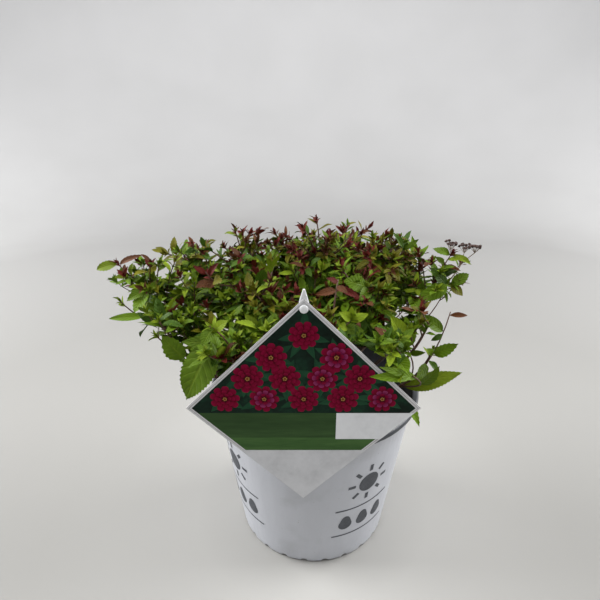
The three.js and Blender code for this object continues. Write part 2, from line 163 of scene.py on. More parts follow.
# The crown, from the part's source.
GAP = 0.3
FORK = 0.44  # share of a stem that is bare bough
BELOW_SURFACE = 21  # of the mound, where a leader ends
MASS_MIDDLE = 0.62  # share of a leader
TIERS = {"crown": (0, 16), "top": (6.8, 15), "side": (9, 12.5), "foot": (9, 5)}  # radius, height of the roots
STEMS = [  # name, tier, azimuth in degrees, reach, height of the tip, arch
    ("top", "crown", 60, 10, 292, 0.0),
    ("inner_left", "top", 170, 64, 288, 0.12),
    ("inner_front_left", "top", 228, 62, 274, 0.12),
    ("inner_front_right", "top", 316, 60, 272, 0.12),
    ("inner_right", "top", 8, 60, 284, 0.12),
    ("inner_back_right", "top", 62, 62, 282, 0.12),
    ("inner_back_left", "top", 118, 62, 284, 0.12),
    ("left", "side", 178, 150, 264, 0.3),
    ("left_front", "side", 206, 128, 250, 0.3),
    ("front_left", "side", 234, 104, 238, 0.26),
    ("front", "side", 278, 74, 252, 0.2),
    ("front_right", "side", 307, 98, 240, 0.26),
    ("right_front", "side", 332, 98, 248, 0.3),
    ("right", "side", 2, 105, 270, 0.3),
    ("right_back", "side", 32, 114, 270, 0.26),
    ("back_right", "side", 62, 120, 264, 0.26),
    ("back", "side", 92, 124, 260, 0.26),
    ("back_left", "side", 122, 124, 264, 0.26),
    ("left_back", "side", 151, 134, 268, 0.26),
    ("low_left", "foot", 193, 106, 222, 0.32),
    ("low_right", "foot", 346, 102, 214, 0.4),
]

# The crown, carried on from the source to its finer parts.
BOUGH = Sizes(root_radius=2.4, end_radius=1.5, tip_radius=0.9)
SHOOT = Sizes(
    per_leader=6,  # in the source
    count=17,  # here
    radius=0.8,
    tip_radius=0.45,
    foot_count=2,  # on the low stems at the pot's lip
    shortest=14,
    longest=62,
    divergence=math.radians(60),
    below_surface=30,
    look_ahead=25,  # to the place whose surface it grows to
    roughness=9,
    tries=9,
)
TWIG = Sizes(
    per_shoot=3,
    radius=0.5,
    tip_radius=0.3,
    shortest=12,
    longest=26,
    divergence=math.radians(50),
    tries=5,
)
LEAF = Sizes(
    spacing=4.5,
    twig_spacing=4.2,
    length=35,
    twig_length=24,
    young=0.46,  # size of the leaves at the top, against the grown ones
    young_height=280,
    grown_height=208,  # below which all leaves are grown
    hang=6,  # how far a leaf's tip may hang below the crown's underside
    slenderness=0.35,
    stalk=0.07,  # share of the length
    stalk_width=0.07,  # share of the widest part
    divergence=math.radians(66),
    droop=0.3,
    to_light=1.3,  # how far a leaf's face turns from the shoot's tip to the sky
    smallest=0.58,  # size of the leaves at a limb's end, against those at its start
    sizes=(0.75, 1.2),  # range of the chance part of the size
    bronze_from=0.9,  # share of a red-tipped limb
    tries=4,
    next_turn=2.2,  # from one try to the next
    overlap=10,  # how far a leaf may reach into the space of the next mass
    serrate_from=17,  # length from which a leaf has teeth
    fine_from=27,  # and many fine ones
)
TIP = Sizes(  # ranges are from the first leaf of a tip to its last, or of a draw
    leaves=7,
    spread=0.14,
    angles=(46, 8),
    shortest=5,
    longest=10.5,
    sizes=(1.15, 0.75),
    slenderness=0.36,
    curl=(0.1, 0.7),
    fold=(0.25, 0.6),
)
CANOPY = Sizes(
    blend=22,  # distance over which one stem's height passes into the next
    back_fall=0.13,  # slope of the mound's surface towards the back
    crest=18,  # depth from which no shoot is missing
    rim_depth=20,  # of leaves under the mound's surface, at its rim
    slope=1.0,  # of the crown's underside, which falls inwards
    fading=12,  # depth below that over which leaves grow rarer
    rest=0.02,  # share of the leaves that grow lower still
    hardiness=0.45,  # the lower, the more shoots live on in the shade, with their tips
    red_depth=30,  # under the mound's surface, to which young tips are red,
    red_height=238,  # if they stand higher than this in the middle,
    red_lean=0.1,  # and lower to the right
    back_depth=0.45,  # how fast the crown grows deeper towards its back
    slack=3,  # how far a leaf may reach out of its mass's box
    clearance=2.5,  # from the pot, the soil and the label
)

# Shares of the tints: of the leaves along a limb and of those at its tip, at the top and lower down.
HIGH_SPRAY_TINTS = {"mid": 0.38, "deep": 0.18, "lime": 0.12, "olive": 0.32}
LOW_SPRAY_TINTS = {"mid": 0.56, "deep": 0.24, "lime": 0.16, "olive": 0.04}
HIGH_TIP_TINTS = {"burgundy": 0.44, "bronze": 0.2, "olive": 0.2, "lime": 0.16}
LOW_TIP_TINTS = {"burgundy": 0.1, "lime": 0.5, "mid": 0.4}

# Boxes that the photo shows open but for the sprigs below: to the left of the pot, in front of the leaf that
# droops there, and to the right.
OPEN_SPACES = [
    ((-190, -110, 140), (-98, -20, 210)),
    ((-190, -110, 140), (-125, -20, 226)),
    ((-190, -110, 140), (-95, -55, 226)),
    ((-112, -115, 150), (-60, -66, 214)),
    ((76, -110, 140), (140, 10, 218)),
    ((58, -110, 140), (140, -62, 236)),
    ((84, -110, 140), (140, -20, 240)),
]

# The first seed of each kind of limb that is listed below, and the step from one to the next.
SPRIG_SEED, TALL_SEED, CREST_SEED, SEED_STEP = 9000, 9700, 20000, 50

# Sprigs that the photo shows apart from the rest. Each names the stem that it grows from, the share of that
# stem's leader where it starts, its bend, its end and the tint of its tip. Its leaves are (share of the
# sprig, tip, slenderness, tint).
SPRIGS = [
    ("left", 1.0, (-159, 2, 248), (-166, 0, 261), "burgundy", [
        (0.98, (-185, 0, 255.5), 0.42, "lime"), (0.96, (-142.6, -4, 269.7), 0.2, "bronze"),
        (0.85, (-161.4, -2, 251), 0.5, "mid"), (0.45, (-168.7, -6, 250.3), 0.4, "lime"),
        (0.35, (-151.6, -4, 263), 0.36, "lime"),
    ]),
    ("left", 0.82, (-138, -8, 240), (-141, -15, 243), "bronze", [
        (0.9, (-155.5, -20, 235), 0.42, "mid"), (0.8, (-147, -29, 228), 0.5, "mid"),
        (0.6, (-134.2, -30, 227), 0.36, "deep"),
    ]),
    ("left_front", 0.7, (-119, -42, 221), (-137, -30, 227), "mid", [
        (0.96, (-168, -30, 223.6), 0.19, "mid"), (0.42, (-129, -38, 214), 0.3, "mid"),
        (0.7, (-141, -38, 233), 0.36, "deep"),
    ]),
    ("left_front", 0.2, (-76, -64, 213), (-100, -62, 204), "mid", [
        (1.0, (-116, -62, 224.5), 0.56, "mid"),
    ]),
    ("front_left", 0.5, (-70, -72, 229), (-77, -78, 231), "mid", [
        (0.9, (-95.6, -87, 185), 0.46, "mid"), (0.7, (-74.4, -90, 214), 0.5, "deep"),
        (0.8, (-97.5, -77, 227), 0.32, "mid"),
    ]),
    ("front_left", 0.72, (-60, -86, 235), (-74, -89, 245), "lime", [
        (0.95, (-78, -97, 234), 0.62, "mid"), (0.9, (-60, -95, 252), 0.42, "lime"),
        (0.3, (-57, -91, 219), 0.5, "lime"),
    ]),
    ("low_right", 0.05, (93, -46, 176), (108, -30, 230), "bronze", [
        (0.13, (118.5, -46, 183.3), 0.25, "lime"), (0.5, (79.6, -50, 178), 0.4, "mid"),
        (0.54, (99, -46, 183), 0.4, "deep"), (0.6, (113, -43, 208), 0.42, "mid"),
        (0.6, (89, -40, 202), 0.5, "mid"), (0.82, (80.5, -34, 229), 0.38, "mid"),
        (0.8, (93, -36, 207), 0.42, "deep"), (0.97, (121.4, -32, 227.5), 0.3, "bronze"),
    ]),
    ("low_right", 0.2, (88, -74, 186), (63.5, -97, 211.4), "lime", [
        (0.98, (31.9, -108, 217.5), 0.19, "mid"), (0.9, (37.8, -107, 224.3), 0.14, "mid"),
        (0.6, (88, -78, 208), 0.34, "mid"),
    ]),
    ("low_right", 0.32, (84, -50, 190), (66, -52, 214), "lime", [
        (0.96, (53, -60, 240), 0.42, "lime"), (0.8, (83, -58, 208), 0.34, "mid"),
        (0.9, (74, -50, 232), 0.34, "mid"),
    ]),
    ("low_right", 0.02, (70, -50, 168), (67, -78, 178), "mid", [
        (0.9, (74, -92, 165), 0.28, "mid"),
    ]),
    ("right", 1.0, (108, 2, 258), (113.5, 0, 270), "burgundy", [
        (0.95, (129, -6, 262), 0.3, "lime"), (0.72, (121, -6, 267), 0.3, "lime"),
        (0.95, (95.5, -4, 275), 0.34, "mid"), (0.5, (98, -4, 268), 0.36, "mid"),
        (0.45, (120, -8, 257), 0.28, "bronze"),
    ]),
    ("right", 0.8, (107, -6, 242), (113.7, -8, 246), "mid", [
        (0.95, (128, -6, 254), 0.5, "mid"), (0.95, (122.5, -13, 237), 0.6, "olive"),
        (0.9, (83.7, -14, 232.8), 0.4, "mid"), (0.8, (95.3, -4, 258.5), 0.5, "deep"),
        (0.62, (111.9, -8, 228.5), 0.24, "mid"),
    ]),
    ("inner_right", 0.85, (70, 2, 262), (73.2, 0, 273.7), "deep", [
        (1.0, (63.8, 4, 287.1), 0.3, "deep"), (0.96, (84, -3, 282.9), 0.26, "mid"),
    ]),
    ("inner_front_right", 0.9, (42, -42, 250), (38, -42, 256), "lime", [
        (1.0, (19, -48, 263), 0.56, "mid"), (0.8, (30, -56, 250), 0.5, "mid"),
    ]),
    ("front", 0.9, (18, -76, 236), (23, -78, 246), "lime", [
        (0.95, (13, -84, 253), 0.45, "lime"), (0.9, (34, -80, 250), 0.42, "lime"),
        (0.7, (12, -86, 241), 0.5, "lime"), (0.6, (31, -84, 239), 0.5, "mid"),
        (0.9, (22, -80, 256), 0.4, "lime"),
    ]),
    ("front", 0.8, (10, -66, 245), (14, -60, 268), "burgundy", [
        (0.85, (-3, -70, 260), 0.3, "bronze"), (0.9, (30, -66, 256), 0.26, "burgundy"),
        (0.97, (5, -66, 271), 0.3, "burgundy"), (0.9, (20, -72, 262), 0.36, "bronze"),
    ]),
    ("inner_left", 0.7, (-78, -20, 240), (-87, -28, 263), "burgundy", [
        (0.95, (-96, -30, 269), 0.3, "burgundy"), (0.9, (-75, -32, 272), 0.3, "burgundy"),
        (0.75, (-93, -40, 254), 0.42, "bronze"), (0.8, (-72, -38, 259), 0.42, "olive"),
    ]),
]

# Shoots that stand out at the top of the photo's crown: the stem, the share of its leader, the end and the
# tint of the tip. Their leaves grow by the rule.
TALL_SHOOTS = [
    ("left", 0.8, (-137.8, -2, 262), "burgundy"),
    ("left_back", 0.9, (-103, 40, 261), "burgundy"),
    ("inner_left", 0.9, (-67.5, 10, 287), "bronze"),
    ("inner_left", 0.8, (-50.1, 30, 282), "burgundy"),
    ("inner_left", 0.7, (-60.9, -15, 272), "burgundy"),
    ("inner_front_left", 0.85, (-30.8, -14, 273), "burgundy"),
    ("top", 0.7, (-19.6, -5, 275), "burgundy"),
    ("top", 0.8, (-11, 0, 292), "burgundy"),
    ("top", 0.9, (0.5, 8, 297), "burgundy"),
    ("inner_back_right", 0.8, (25.7, 40, 280), "burgundy"),
    ("inner_back_right", 0.9, (41.7, 40, 277), "burgundy"),
    ("inner_right", 0.8, (60.4, 15, 282), "burgundy"),
    ("inner_right", 0.9, (74.6, 10, 276), "mid"),
    ("inner_back_right", 0.6, (34, 25, 277), "olive"),
    ("inner_back_right", 0.5, (18, 20, 283), "bronze"),
    ("inner_right", 0.7, (50, 20, 279), "mid"),
    ("inner_right", 0.6, (68, 30, 277), "olive"),
    ("inner_right", 0.5, (44, -5, 275), "burgundy"),
    ("right_back", 0.8, (80, 45, 272), "mid"),
    ("top", 0.6, (12, -10, 281), "olive"),
    ("inner_back_right", 0.7, (30, 45, 284), "mid"),
    ("inner_back_right", 0.8, (50, 45, 282), "burgundy"),
    ("inner_right", 0.8, (56, 5, 281), "olive"),
    ("inner_right", 0.75, (70, 10, 279), "burgundy"),
    ("left", 0.6, (-118, 5, 264), "olive"),
    ("left", 0.9, (-148, 10, 258), "mid"),
    ("left_back", 0.5, (-100, 38, 268), "mid"),
    ("left_back", 0.8, (-125, 38, 262), "mid"),
    ("left_back", 0.9, (-138, 40, 258), "olive"),
    ("left", 0.7, (-131, 0, 262), "mid"),
    ("left_back", 0.7, (-112, 40, 268), "burgundy"),
    ("inner_left", 0.6, (-96, 15, 272), "olive"),
    ("right", 0.7, (91, 20, 265), "burgundy"),
    ("right", 0.9, (97.2, 0, 262), "burgundy"),
]

# Shoots that close the crown's top, spread evenly over a round part of it.
CREST = Sizes(count=24, middle=(24, 18), radius=58, start=0.72, deepest=14)

# The dry seed heads at the right: a pale stalk with its foot and its fork, and the middle of each head.
SEEDS = Sizes(
    foot=(118, 4, 246),
    fork=(123.8, 4, 259),
    heads=[(113.5, 4, 278), (125.5, 5, 275), (133.6, 3, 275.4)],
    spread=5,
    pods=11,
    pod_radius=1.3,
    pod_sides=10,
    stalk_radius=0.4,
    fine_radii=(0.2, 0.15),
)

STAGE = Sizes(
    floor_radius=1300,
    wall_radius=2400,
    wall_height=2600,
    near=130,  # distance of the first tone of the painted light and shade on the paper, and
    far=2860,  # of its last
    # painted light: a pale pool at the shrub, painted shade in a ring round it, and a paler wall
    tones=[
        (0.345, 0.34, 0.326),
        (0.262, 0.258, 0.246),
        (0.222, 0.219, 0.21),
        (0.235, 0.233, 0.229),
        (0.46, 0.46, 0.465),
    ],
)
SHRUB_MIDDLE = (0, 0, 150)
LAMPS = [  # name, place, size, power, target
    ("left", (-1700, 350, 1100), 1200, 64, SHRUB_MIDDLE),
    ("right", (1700, 400, 1100), 1200, 54, SHRUB_MIDDLE),
    ("top", (0, -100, 1900), 1200, 18, SHRUB_MIDDLE),
    ("front", (0, -1900, 1500), 1200, 6, SHRUB_MIDDLE),
    ("backdrop", (0, 1300, 2300), 1000, 10, (0, 2400, 900)),
]
SKY = {"Color": (1.0, 0.99, 0.97, 1), "Strength": 0.38}
CAMERA = Sizes(place=(-13.1, -363, 374), pitch=68.1, lens=27.06, sensor=36)


# ---------- small maths ----------


def lerp(a, b, share):
    return a + (b - a) * share


def chance(a, b):
    """A repeatable number from 0 to 1 for a pair of counters: a seed, and the number of a draw."""
    x = math.sin(a * 12.9898 + b * 78.233) * 43758.5453
    return x - math.floor(x)


def between(low, high, a, b):
    """A repeatable number between two others."""
    return lerp(low, high, chance(a, b))


def polar(radius, azimuth, z=0):
    return Vector((radius * math.cos(azimuth), radius * math.sin(azimuth), z))


def turns(count):
    """Angles that are spread evenly over a full turn."""
    return [TURN * i / count for i in range(count)]


def leaning(axis, angle, turn):
    """A direction that leans from an axis by an angle, turned round it."""
    level = UP.cross(axis)
    level = level.normalized() if level.length > 0.01 else Vector((1, 0, 0))
    radial = level * math.cos(turn) + axis.cross(level) * math.sin(turn)
    return (axis * math.cos(angle) + radial * math.sin(angle)).normalized()


class Curve:
    """A quadratic Bezier curve that is read by share of its length."""

    STEPS = 20

    def __init__(self, start, bend, end):
        self.start, self.bend, self.end = start, bend, end
        line = [self.blossom(i / self.STEPS, i / self.STEPS) for i in range(self.STEPS + 1)]
        self.runs = np.cumsum([0.0] + [(b - a).length for a, b in zip(line, line[1:])])
        self.length = float(self.runs[-1])

    def blossom(self, a, b):
        return self.start.lerp(self.bend, a).lerp(self.bend.lerp(self.end, a), b)

    def stretch(self, a, b):
        """The part of the curve between two of its parameters."""
        return Curve(self.blossom(a, a), self.blossom(a, b), self.blossom(b, b))

    def at(self, share):
        """The point at a share of the length, and the direction there."""
        step = float(np.interp(share * self.length, self.runs, np.arange(self.STEPS + 1))) / self.STEPS
        ahead = self.bend.lerp(self.end, step) - self.start.lerp(self.bend, step)
        return self.blossom(step, step), ahead.normalized()


# ---------- meshes ----------


class Shape:
    """Corners in millimetres, and faces with the number of their material, gathered from many parts. The
    place of a corner is where it lies on the surface, for the patterns that follow it: round and along a
    limb, or across and along a leaf."""

    def __init__(self):
        self.corners, self.places, self.faces, self.tones, self.count = [], [], [], [], 0

    def add(self, corners, faces, places=None, tones=None):
        corners = np.asarray(corners, float).reshape(-1, 3)
        self.corners.append(corners)
        self.places.append(corners if places is None else np.asarray(places, float).reshape(-1, 3))
        self.faces += [[self.count + i for i in face] for face in faces]
        self.tones += tones or [0] * len(faces)
        self.count += len(corners)
        return self


def link(thing):
    bpy.context.scene.collection.objects.link(thing)


def mesh_object(name, shape, materials, smooth):
    """A mesh in the scene, made of a shape."""
    mesh = bpy.data.meshes.new(name)
    mesh.from_pydata((np.concatenate(shape.corners) * MM).tolist(), [], shape.faces)
    place = mesh.attributes.new("place", "FLOAT_VECTOR", "POINT")
    place.data.foreach_set("vector", np.concatenate(shape.places).ravel())
    for material in materials:
        mesh.materials.append(material)
    mesh.polygons.foreach_set("material_index", shape.tones)
    mesh.polygons.foreach_set("use_smooth", [smooth] * len(shape.faces))
    mesh.update()
    thing = bpy.data.objects.new(name, mesh)
    link(thing)
    return thing


def add_piece(name, shape, materials, replaces=(), smooth=True):
    """A piece of the potted shrub, with the nodes of the part that it replaces."""
    piece = mesh_object(name, shape, materials, smooth)
    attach(piece, "root")
    if replaces:
        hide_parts(*replaces)


def grid_faces(rows, columns, closed=True):
    """Four-sided faces between rows of corners. A closed row runs back to its first corner."""
    faces = []
    for start in range(0, (rows - 1) * columns, columns):
        for j in range(columns if closed else columns - 1):
            after = (j + 1) % columns
            faces.append([start + j, start + after, start + columns + after, start + columns + j])
    return faces


def capped_faces(rows, columns):
    """The faces between closed rows, with a cap at each end."""
    last = (rows - 1) * columns
    return grid_faces(rows, columns) + [list(range(columns))[::-1], list(range(last, last + columns))]


def turned(profile, azimuths):
    """Corners and faces of a form turned about Z, from (radius, height) pairs."""
    corners = [polar(radius, azimuth, z) for radius, z in profile for azimuth in azimuths]
    return corners, grid_faces(len(profile), len(azimuths))


def arc(centre, radius, start, end, count):
    """Pairs along an arc, with its angles in degrees."""
    angles = [math.radians(lerp(start, end, i / count)) for i in range(count + 1)]
    return [(centre[0] + radius * math.cos(a), centre[1] + radius * math.sin(a)) for a in angles]


def add_tube(shape, curve, start_radius, end_radius, sides, segments, relief=None):
    """A round limb along a curve. Relief gives a share of the radius at a place round and along it."""
    corners, places = [], []
    side = None
    for i in range(segments + 1):
        share = i / segments
        centre, axis = curve.at(share)
        side = leaning(axis, math.pi / 2, 0) if side is None else (side - axis * side.dot(axis)).normalized()
        over = axis.cross(side)
        radius = lerp(start_radius, end_radius, share)
        for turn in turns(sides):
            around = Vector((math.cos(turn) * radius, math.sin(turn) * radius, share * curve.length))
            swell = relief(around) if relief else 1
            corners.append(centre + (side * around.x + over * around.y) * swell)
            places.append(around)
    cap = list(range(segments * sides, (segments + 1) * sides))
    shape.add(corners, [*grid_faces(segments + 1, sides), cap], places)


# ---------- materials ----------

EVEN = (1, 1, 1)
STREAKED = (1, 1, 7)  # along a limb
BRUSHED = (9, 1, 1)  # across the label

# Finishes in near tones: the tones, the size of their patches, the range of the roughness and the depth of
# the relief.
FINISHES = {
    "pot_slate": ([(0.016, 0.019, 0.025), (0.03, 0.034, 0.042), (0.055, 0.06, 0.07)], 16, (0.36, 0.55), 0.1),
    "pot_ink": ([(0.028, 0.032, 0.04), (0.04, 0.045, 0.055), (0.07, 0.075, 0.09)], 6, (0.4, 0.6), 0.05),
    "peat": ([(0.012, 0.008, 0.005), (0.035, 0.022, 0.013), (0.09, 0.055, 0.03)], 3.5, (0.85, 1.0), 0.6),
    "bark_chips": ([(0.03, 0.017, 0.009), (0.08, 0.045, 0.022), (0.17, 0.105, 0.055)], 14, (0.8, 1.0), 0.3),
    "card_grey": ([(0.35, 0.345, 0.35), (0.42, 0.415, 0.42), (0.48, 0.475, 0.48)], 22, (0.34, 0.46), 0.04),
    "stake_white": ([(0.60, 0.61, 0.62), (0.70, 0.71, 0.72), (0.76, 0.77, 0.78)], 9, (0.36, 0.5), 0.05),
    "dry_stalk": ([(0.10, 0.065, 0.04), (0.19, 0.14, 0.09), (0.30, 0.25, 0.17)], 4, (0.6, 0.8), 0.2),
    "seed_husk": (
        [(0.012, 0.005, 0.004), (0.036, 0.013, 0.009), (0.095, 0.042, 0.022)], 1.2, (0.6, 0.85), 0.3
    ),
}
PRINTED_TONES = {  # and the size of their patches
    "ground": ([(0.002, 0.005, 0.003), (0.004, 0.016, 0.009), (0.008, 0.042, 0.020)], 15),
    "leaves": ([(0.005, 0.026, 0.012), (0.010, 0.050, 0.022), (0.022, 0.085, 0.036)], 5),
    "band": ([(0.020, 0.046, 0.014), (0.028, 0.062, 0.019), (0.040, 0.085, 0.026)], 9),
    "band_light": ([(0.030, 0.075, 0.020), (0.042, 0.098, 0.026), (0.060, 0.125, 0.036)], 6),
    "box": ([(0.60, 0.61, 0.625), (0.67, 0.68, 0.695), (0.72, 0.73, 0.745)], 20),
    "foot": ([(0.44, 0.445, 0.46), (0.52, 0.525, 0.54), (0.58, 0.585, 0.60)], 20),
    "rim": ([(0.60, 0.60, 0.61), (0.68, 0.68, 0.69), (0.74, 0.74, 0.75)], 20),
}
PETAL_TONES = {  # from a petal's foot to its edge
    "crimson": [(0.018, 0.0005, 0.003), (0.115, 0.001, 0.014), (0.20, 0.003, 0.03)],
    "rose": [(0.03, 0.001, 0.008), (0.13, 0.006, 0.04), (0.22, 0.03, 0.10)],
    "eye": [(0.10, 0.03, 0.01), (0.25, 0.12, 0.03), (0.36, 0.22, 0.07)],
}
BARKS = {  # tones, and the width of the streaks
    "bark_old": ([(0.02, 0.011, 0.007), (0.05, 0.03, 0.02), (0.11, 0.075, 0.05)], 1.1),
    "bark_young": ([(0.035, 0.012, 0.008), (0.08, 0.032, 0.018), (0.14, 0.075, 0.035)], 0.7),
}
POT_TONES = Sizes(white=(0.43, 0.443, 0.478), dull=(0.37, 0.379, 0.405), dirt=(0.17, 0.14, 0.115))
LEAF_TINTS = {  # colour of the blade, colour of its veins, roughness
    "mid": ((0.084, 0.150, 0.004), (0.16, 0.22, 0.014), 0.46),
    "deep": ((0.044, 0.094, 0.006), (0.08, 0.14, 0.012), 0.42),
    "lime": ((0.165, 0.235, 0.010), (0.25, 0.31, 0.030), 0.48),
    "olive": ((0.122, 0.118, 0.006), (0.19, 0.17, 0.016), 0.48),
    "bronze": ((0.085, 0.029, 0.009), (0.13, 0.058, 0.018), 0.46),
    "burgundy": ((0.100, 0.013, 0.009), (0.16, 0.032, 0.016), 0.44),
}


def is_socket(value):
    return isinstance(value, bpy.types.NodeSocket)


def set_inputs(node, inputs):
    """Sets a node's inputs to values, or links them to other nodes' sockets."""
    for key, value in inputs.items():
        if is_socket(value):
            node.id_data.links.new(value, node.inputs[key])
        else:
            node.inputs[key].default_value = value


def add_node(kind, inputs, **settings):
    """A shader node in the tree of the sockets among its inputs."""
    tree = next(value.id_data for value in inputs.values() if is_socket(value))
    node = tree.nodes.new(f"ShaderNode{kind}")
    for key, value in settings.items():
        setattr(node, key, value)
    set_inputs(node, inputs)
    return node


def maths(operation, *values):
    return add_node("Math", dict(enumerate(values)), operation=operation).outputs[0]


def weighted(*pairs):
    """The sum of two values, each times its weight."""
    parts = [maths("MULTIPLY", value, weight) for value, weight in pairs]
    return maths("ADD", *parts)


def remap(value, low, high, to_low, to_high):
    """A value that goes from low to high, as one that goes from to_low to to_high."""
    inputs = {"Value": value, "From Min": low, "From Max": high, "To Min": to_low, "To Max": to_high}
    return add_node("MapRange", inputs).outputs[0]


def spread(pattern, low, high):
    """A noise pattern, whose values lie about 0.5, as values from low to high."""
    return remap(pattern, 0.3, 0.7, low, high)


def ramp(value, colours, low=0.3, high=0.7):
    """Runs through colours as the value goes from low to high."""
    node = add_node("ValToRGB", {"Fac": value})
    stops = node.color_ramp.elements
    while len(stops) < len(colours):
        stops.new(0.5)
    for i, colour in enumerate(colours):
        stops[i].position = lerp(low, high, i / (len(colours) - 1))
        stops[i].color = (*colour, 1)
    return node.outputs[0]


def laid_over(base, colour, share):
    """A base colour with this share of another."""
    inputs = {0: share, 6: base, 7: (*colour, 1)}
    return add_node("Mix", inputs, data_type="RGBA").outputs[2]


def placed(where, scale):
    return add_node("Mapping", {"Vector": where, "Scale": scale}).outputs[0]


def grain(where, size, detail=4.0, stretch=EVEN):
    """Noise with features of a size in the units of its place, longer where the stretch is more than 1."""
    place = placed(where, [1 / (size * s) for s in stretch])
    return add_node("TexNoise", {"Vector": place, "Scale": 1.0, "Detail": detail}).outputs[0]


def place_on(material):
    """The place of each corner on its surface."""
    node = material.node_tree.nodes.new("ShaderNodeAttribute")
    node.attribute_name = "place"
    return node.outputs["Vector"]


def split(vector):
    return add_node("SeparateXYZ", {0: vector}).outputs


def object_place(material):
    return material.node_tree.nodes.new("ShaderNodeTexCoord").outputs["Object"]


def start_material(name):
    material = bpy.data.materials.new(name)
    material.use_nodes = True
    return material


def finished(material, inputs):
    """The material, with the inputs of its Principled shader."""
    set_inputs(material.node_tree.nodes["Principled BSDF"], inputs)
    return material


def relief(height, depth, strength=0.6):
    """A normal that follows a height, whose depth is in millimetres."""
    inputs = {"Height": height, "Distance": depth * MM, "Strength": strength}
    return add_node("Bump", inputs).outputs[0]


def plain_finish(name, tones, size, roughness, depth, stretch=EVEN, specular=0.5):
    """A finish whose colour runs through near tones in patches of a size, with finer specks in its relief."""
    material = start_material(name)
    where = place_on(material)
    patches = grain(where, size, 5.0, stretch)
    specks = grain(where, size / 5, 3.0, stretch)
    return finished(material, {
        "Base Color": ramp(weighted((patches, 0.65), (specks, 0.35)), tones),
        "Roughness": spread(specks, *roughness),
        "Specular IOR Level": specular,
        "Normal": relief(specks, depth),
    })


def finish(name):
    return plain_finish(name, *FINISHES[name])


def printed_finish(name):
    """A printed field of the label. The green bands are brushed."""
    tones, size = PRINTED_TONES[name]
    stretch = BRUSHED if name.startswith("band") else EVEN
    return plain_finish(f"print_{name}", tones, size, (0.38, 0.5), 0.02, stretch, specular=0.1)


def petal_finish(name):
    """Printed petals, dark at their foot and between each other, and streaked towards their edge."""
    material = start_material(f"print_{name}")
    out, across, petal = split(place_on(material))
    fanned = {0: out, 1: maths("MULTIPLY", across, 4.0), 2: petal}
    where = add_node("CombineXYZ", fanned).outputs[0]
    streaks = add_node("TexNoise", {"Vector": where, "Scale": 2.5, "Detail": 3.0}).outputs[0]
    gaps = maths("MULTIPLY", maths("POWER", across, 4.0), 0.5)
    lit = maths("ADD", out, maths("MULTIPLY", maths("SUBTRACT", streaks, 0.5), 0.6))
    return finished(material, {
        "Base Color": ramp(maths("SUBTRACT", lit, gaps), PETAL_TONES[name], 0.25, 1.0),
        "Roughness": 0.42,
        "Specular IOR Level": 0.05,
        "Normal": relief(streaks, 0.02),
    })


def pot_white():
    """White plastic with faint smudges, fine scuffs, and specks of peat that are thicker near the floor."""
    material = start_material("pot_white")
    where = place_on(material)
    smudges = grain(where, 38, 5.0)
    scuffs = grain(where, 3.2, 4.0, (1, 1, 5))
    specks = grain(where, 1.9, 2.0)
    tones = [POT_TONES.dull, POT_TONES.white, POT_TONES.white]
    base = ramp(smudges, tones, 0.28, 0.62)
    low = remap(split(where)[2], 0, 34, 0.045, 0.0)
    mask = remap(maths("ADD", specks, low), 0.735, 0.775, 0.0, 0.75)
    wear = maths("ADD", scuffs, maths("MULTIPLY", smudges, 3.0))
    return finished(material, {
        "Base Color": laid_over(base, POT_TONES.dirt, mask),
        "Roughness": spread(scuffs, 0.34, 0.52),
        "Normal": relief(wear, 0.12, 0.35),
    })


def bark(name):
    """Bark with streaks along the limb and small pale pores."""
    material = start_material(name)
    tones, size = BARKS[name]
    where = place_on(material)
    streaks = grain(where, size, 5.0, STREAKED)
    patches = grain(where, 7 * size, 3.0)
    cells = {"Vector": placed(where, (1.6, 1.6, 0.5)), "Scale": 1.0}
    pores = add_node("TexVoronoi", cells).outputs[0]
    base = ramp(weighted((streaks, 0.6), (patches, 0.4)), tones)
    pale = [lerp(tone, 0.35, 0.35) for tone in tones[-1]]
    return finished(material, {
        "Base Color": laid_over(base, pale, remap(pores, 0.10, 0.18, 0.7, 0.0)),
        "Roughness": spread(streaks, 0.5, 0.8),
        "Normal": relief(streaks, 0.35),
    })


def leaf_finish(tint):
    """A pale midrib, side veins that sink between quilted panels, and tones that vary leaf by leaf."""
    material = start_material(f"leaf_{tint}")
    blade, vein, gloss = LEAF_TINTS[tint]
    across, along, lot = split(place_on(material))
    out = maths("ABSOLUTE", across)
    phase = maths("SUBTRACT", maths("MULTIPLY", along, 8.0), maths("MULTIPLY", out, 1.7))
    wave = maths("PINGPONG", phase, 0.5)
    veins = remap(wave, 0.0, 0.14, 0.6, 0.0)
    midrib = remap(out, 0.03, 0.12, 1.0, 0.0)
    net = maths("MAXIMUM", veins, midrib)
    mottle = grain(object_place(material), 3 * MM, 3.0)
    shades = [[c * share for c in blade] for share in (0.62, 1.0, 1.4)]
    base = ramp(weighted((mottle, 0.5), (lot, 0.5)), shades, 0.15, 0.85)
    return finished(material, {
        "Base Color": laid_over(base, vein, maths("MULTIPLY", net, 0.34)),
        "Roughness": spread(mottle, gloss, gloss + 0.16),
        "Specular IOR Level": 0.14,
        "Normal": relief(maths("SUBTRACT", wave, net), 0.35, 0.7),
    })


# ---------- pot and soil ----------


def outer_radius_at(z):
    """Outside radius of the pot's wall, below the lip."""
    return lerp(POT.base_radius, POT.lip_radius - POT.lip_width, z / POT.height)


def inner_radius_at(z):
    return outer_radius_at(z) - POT.wall


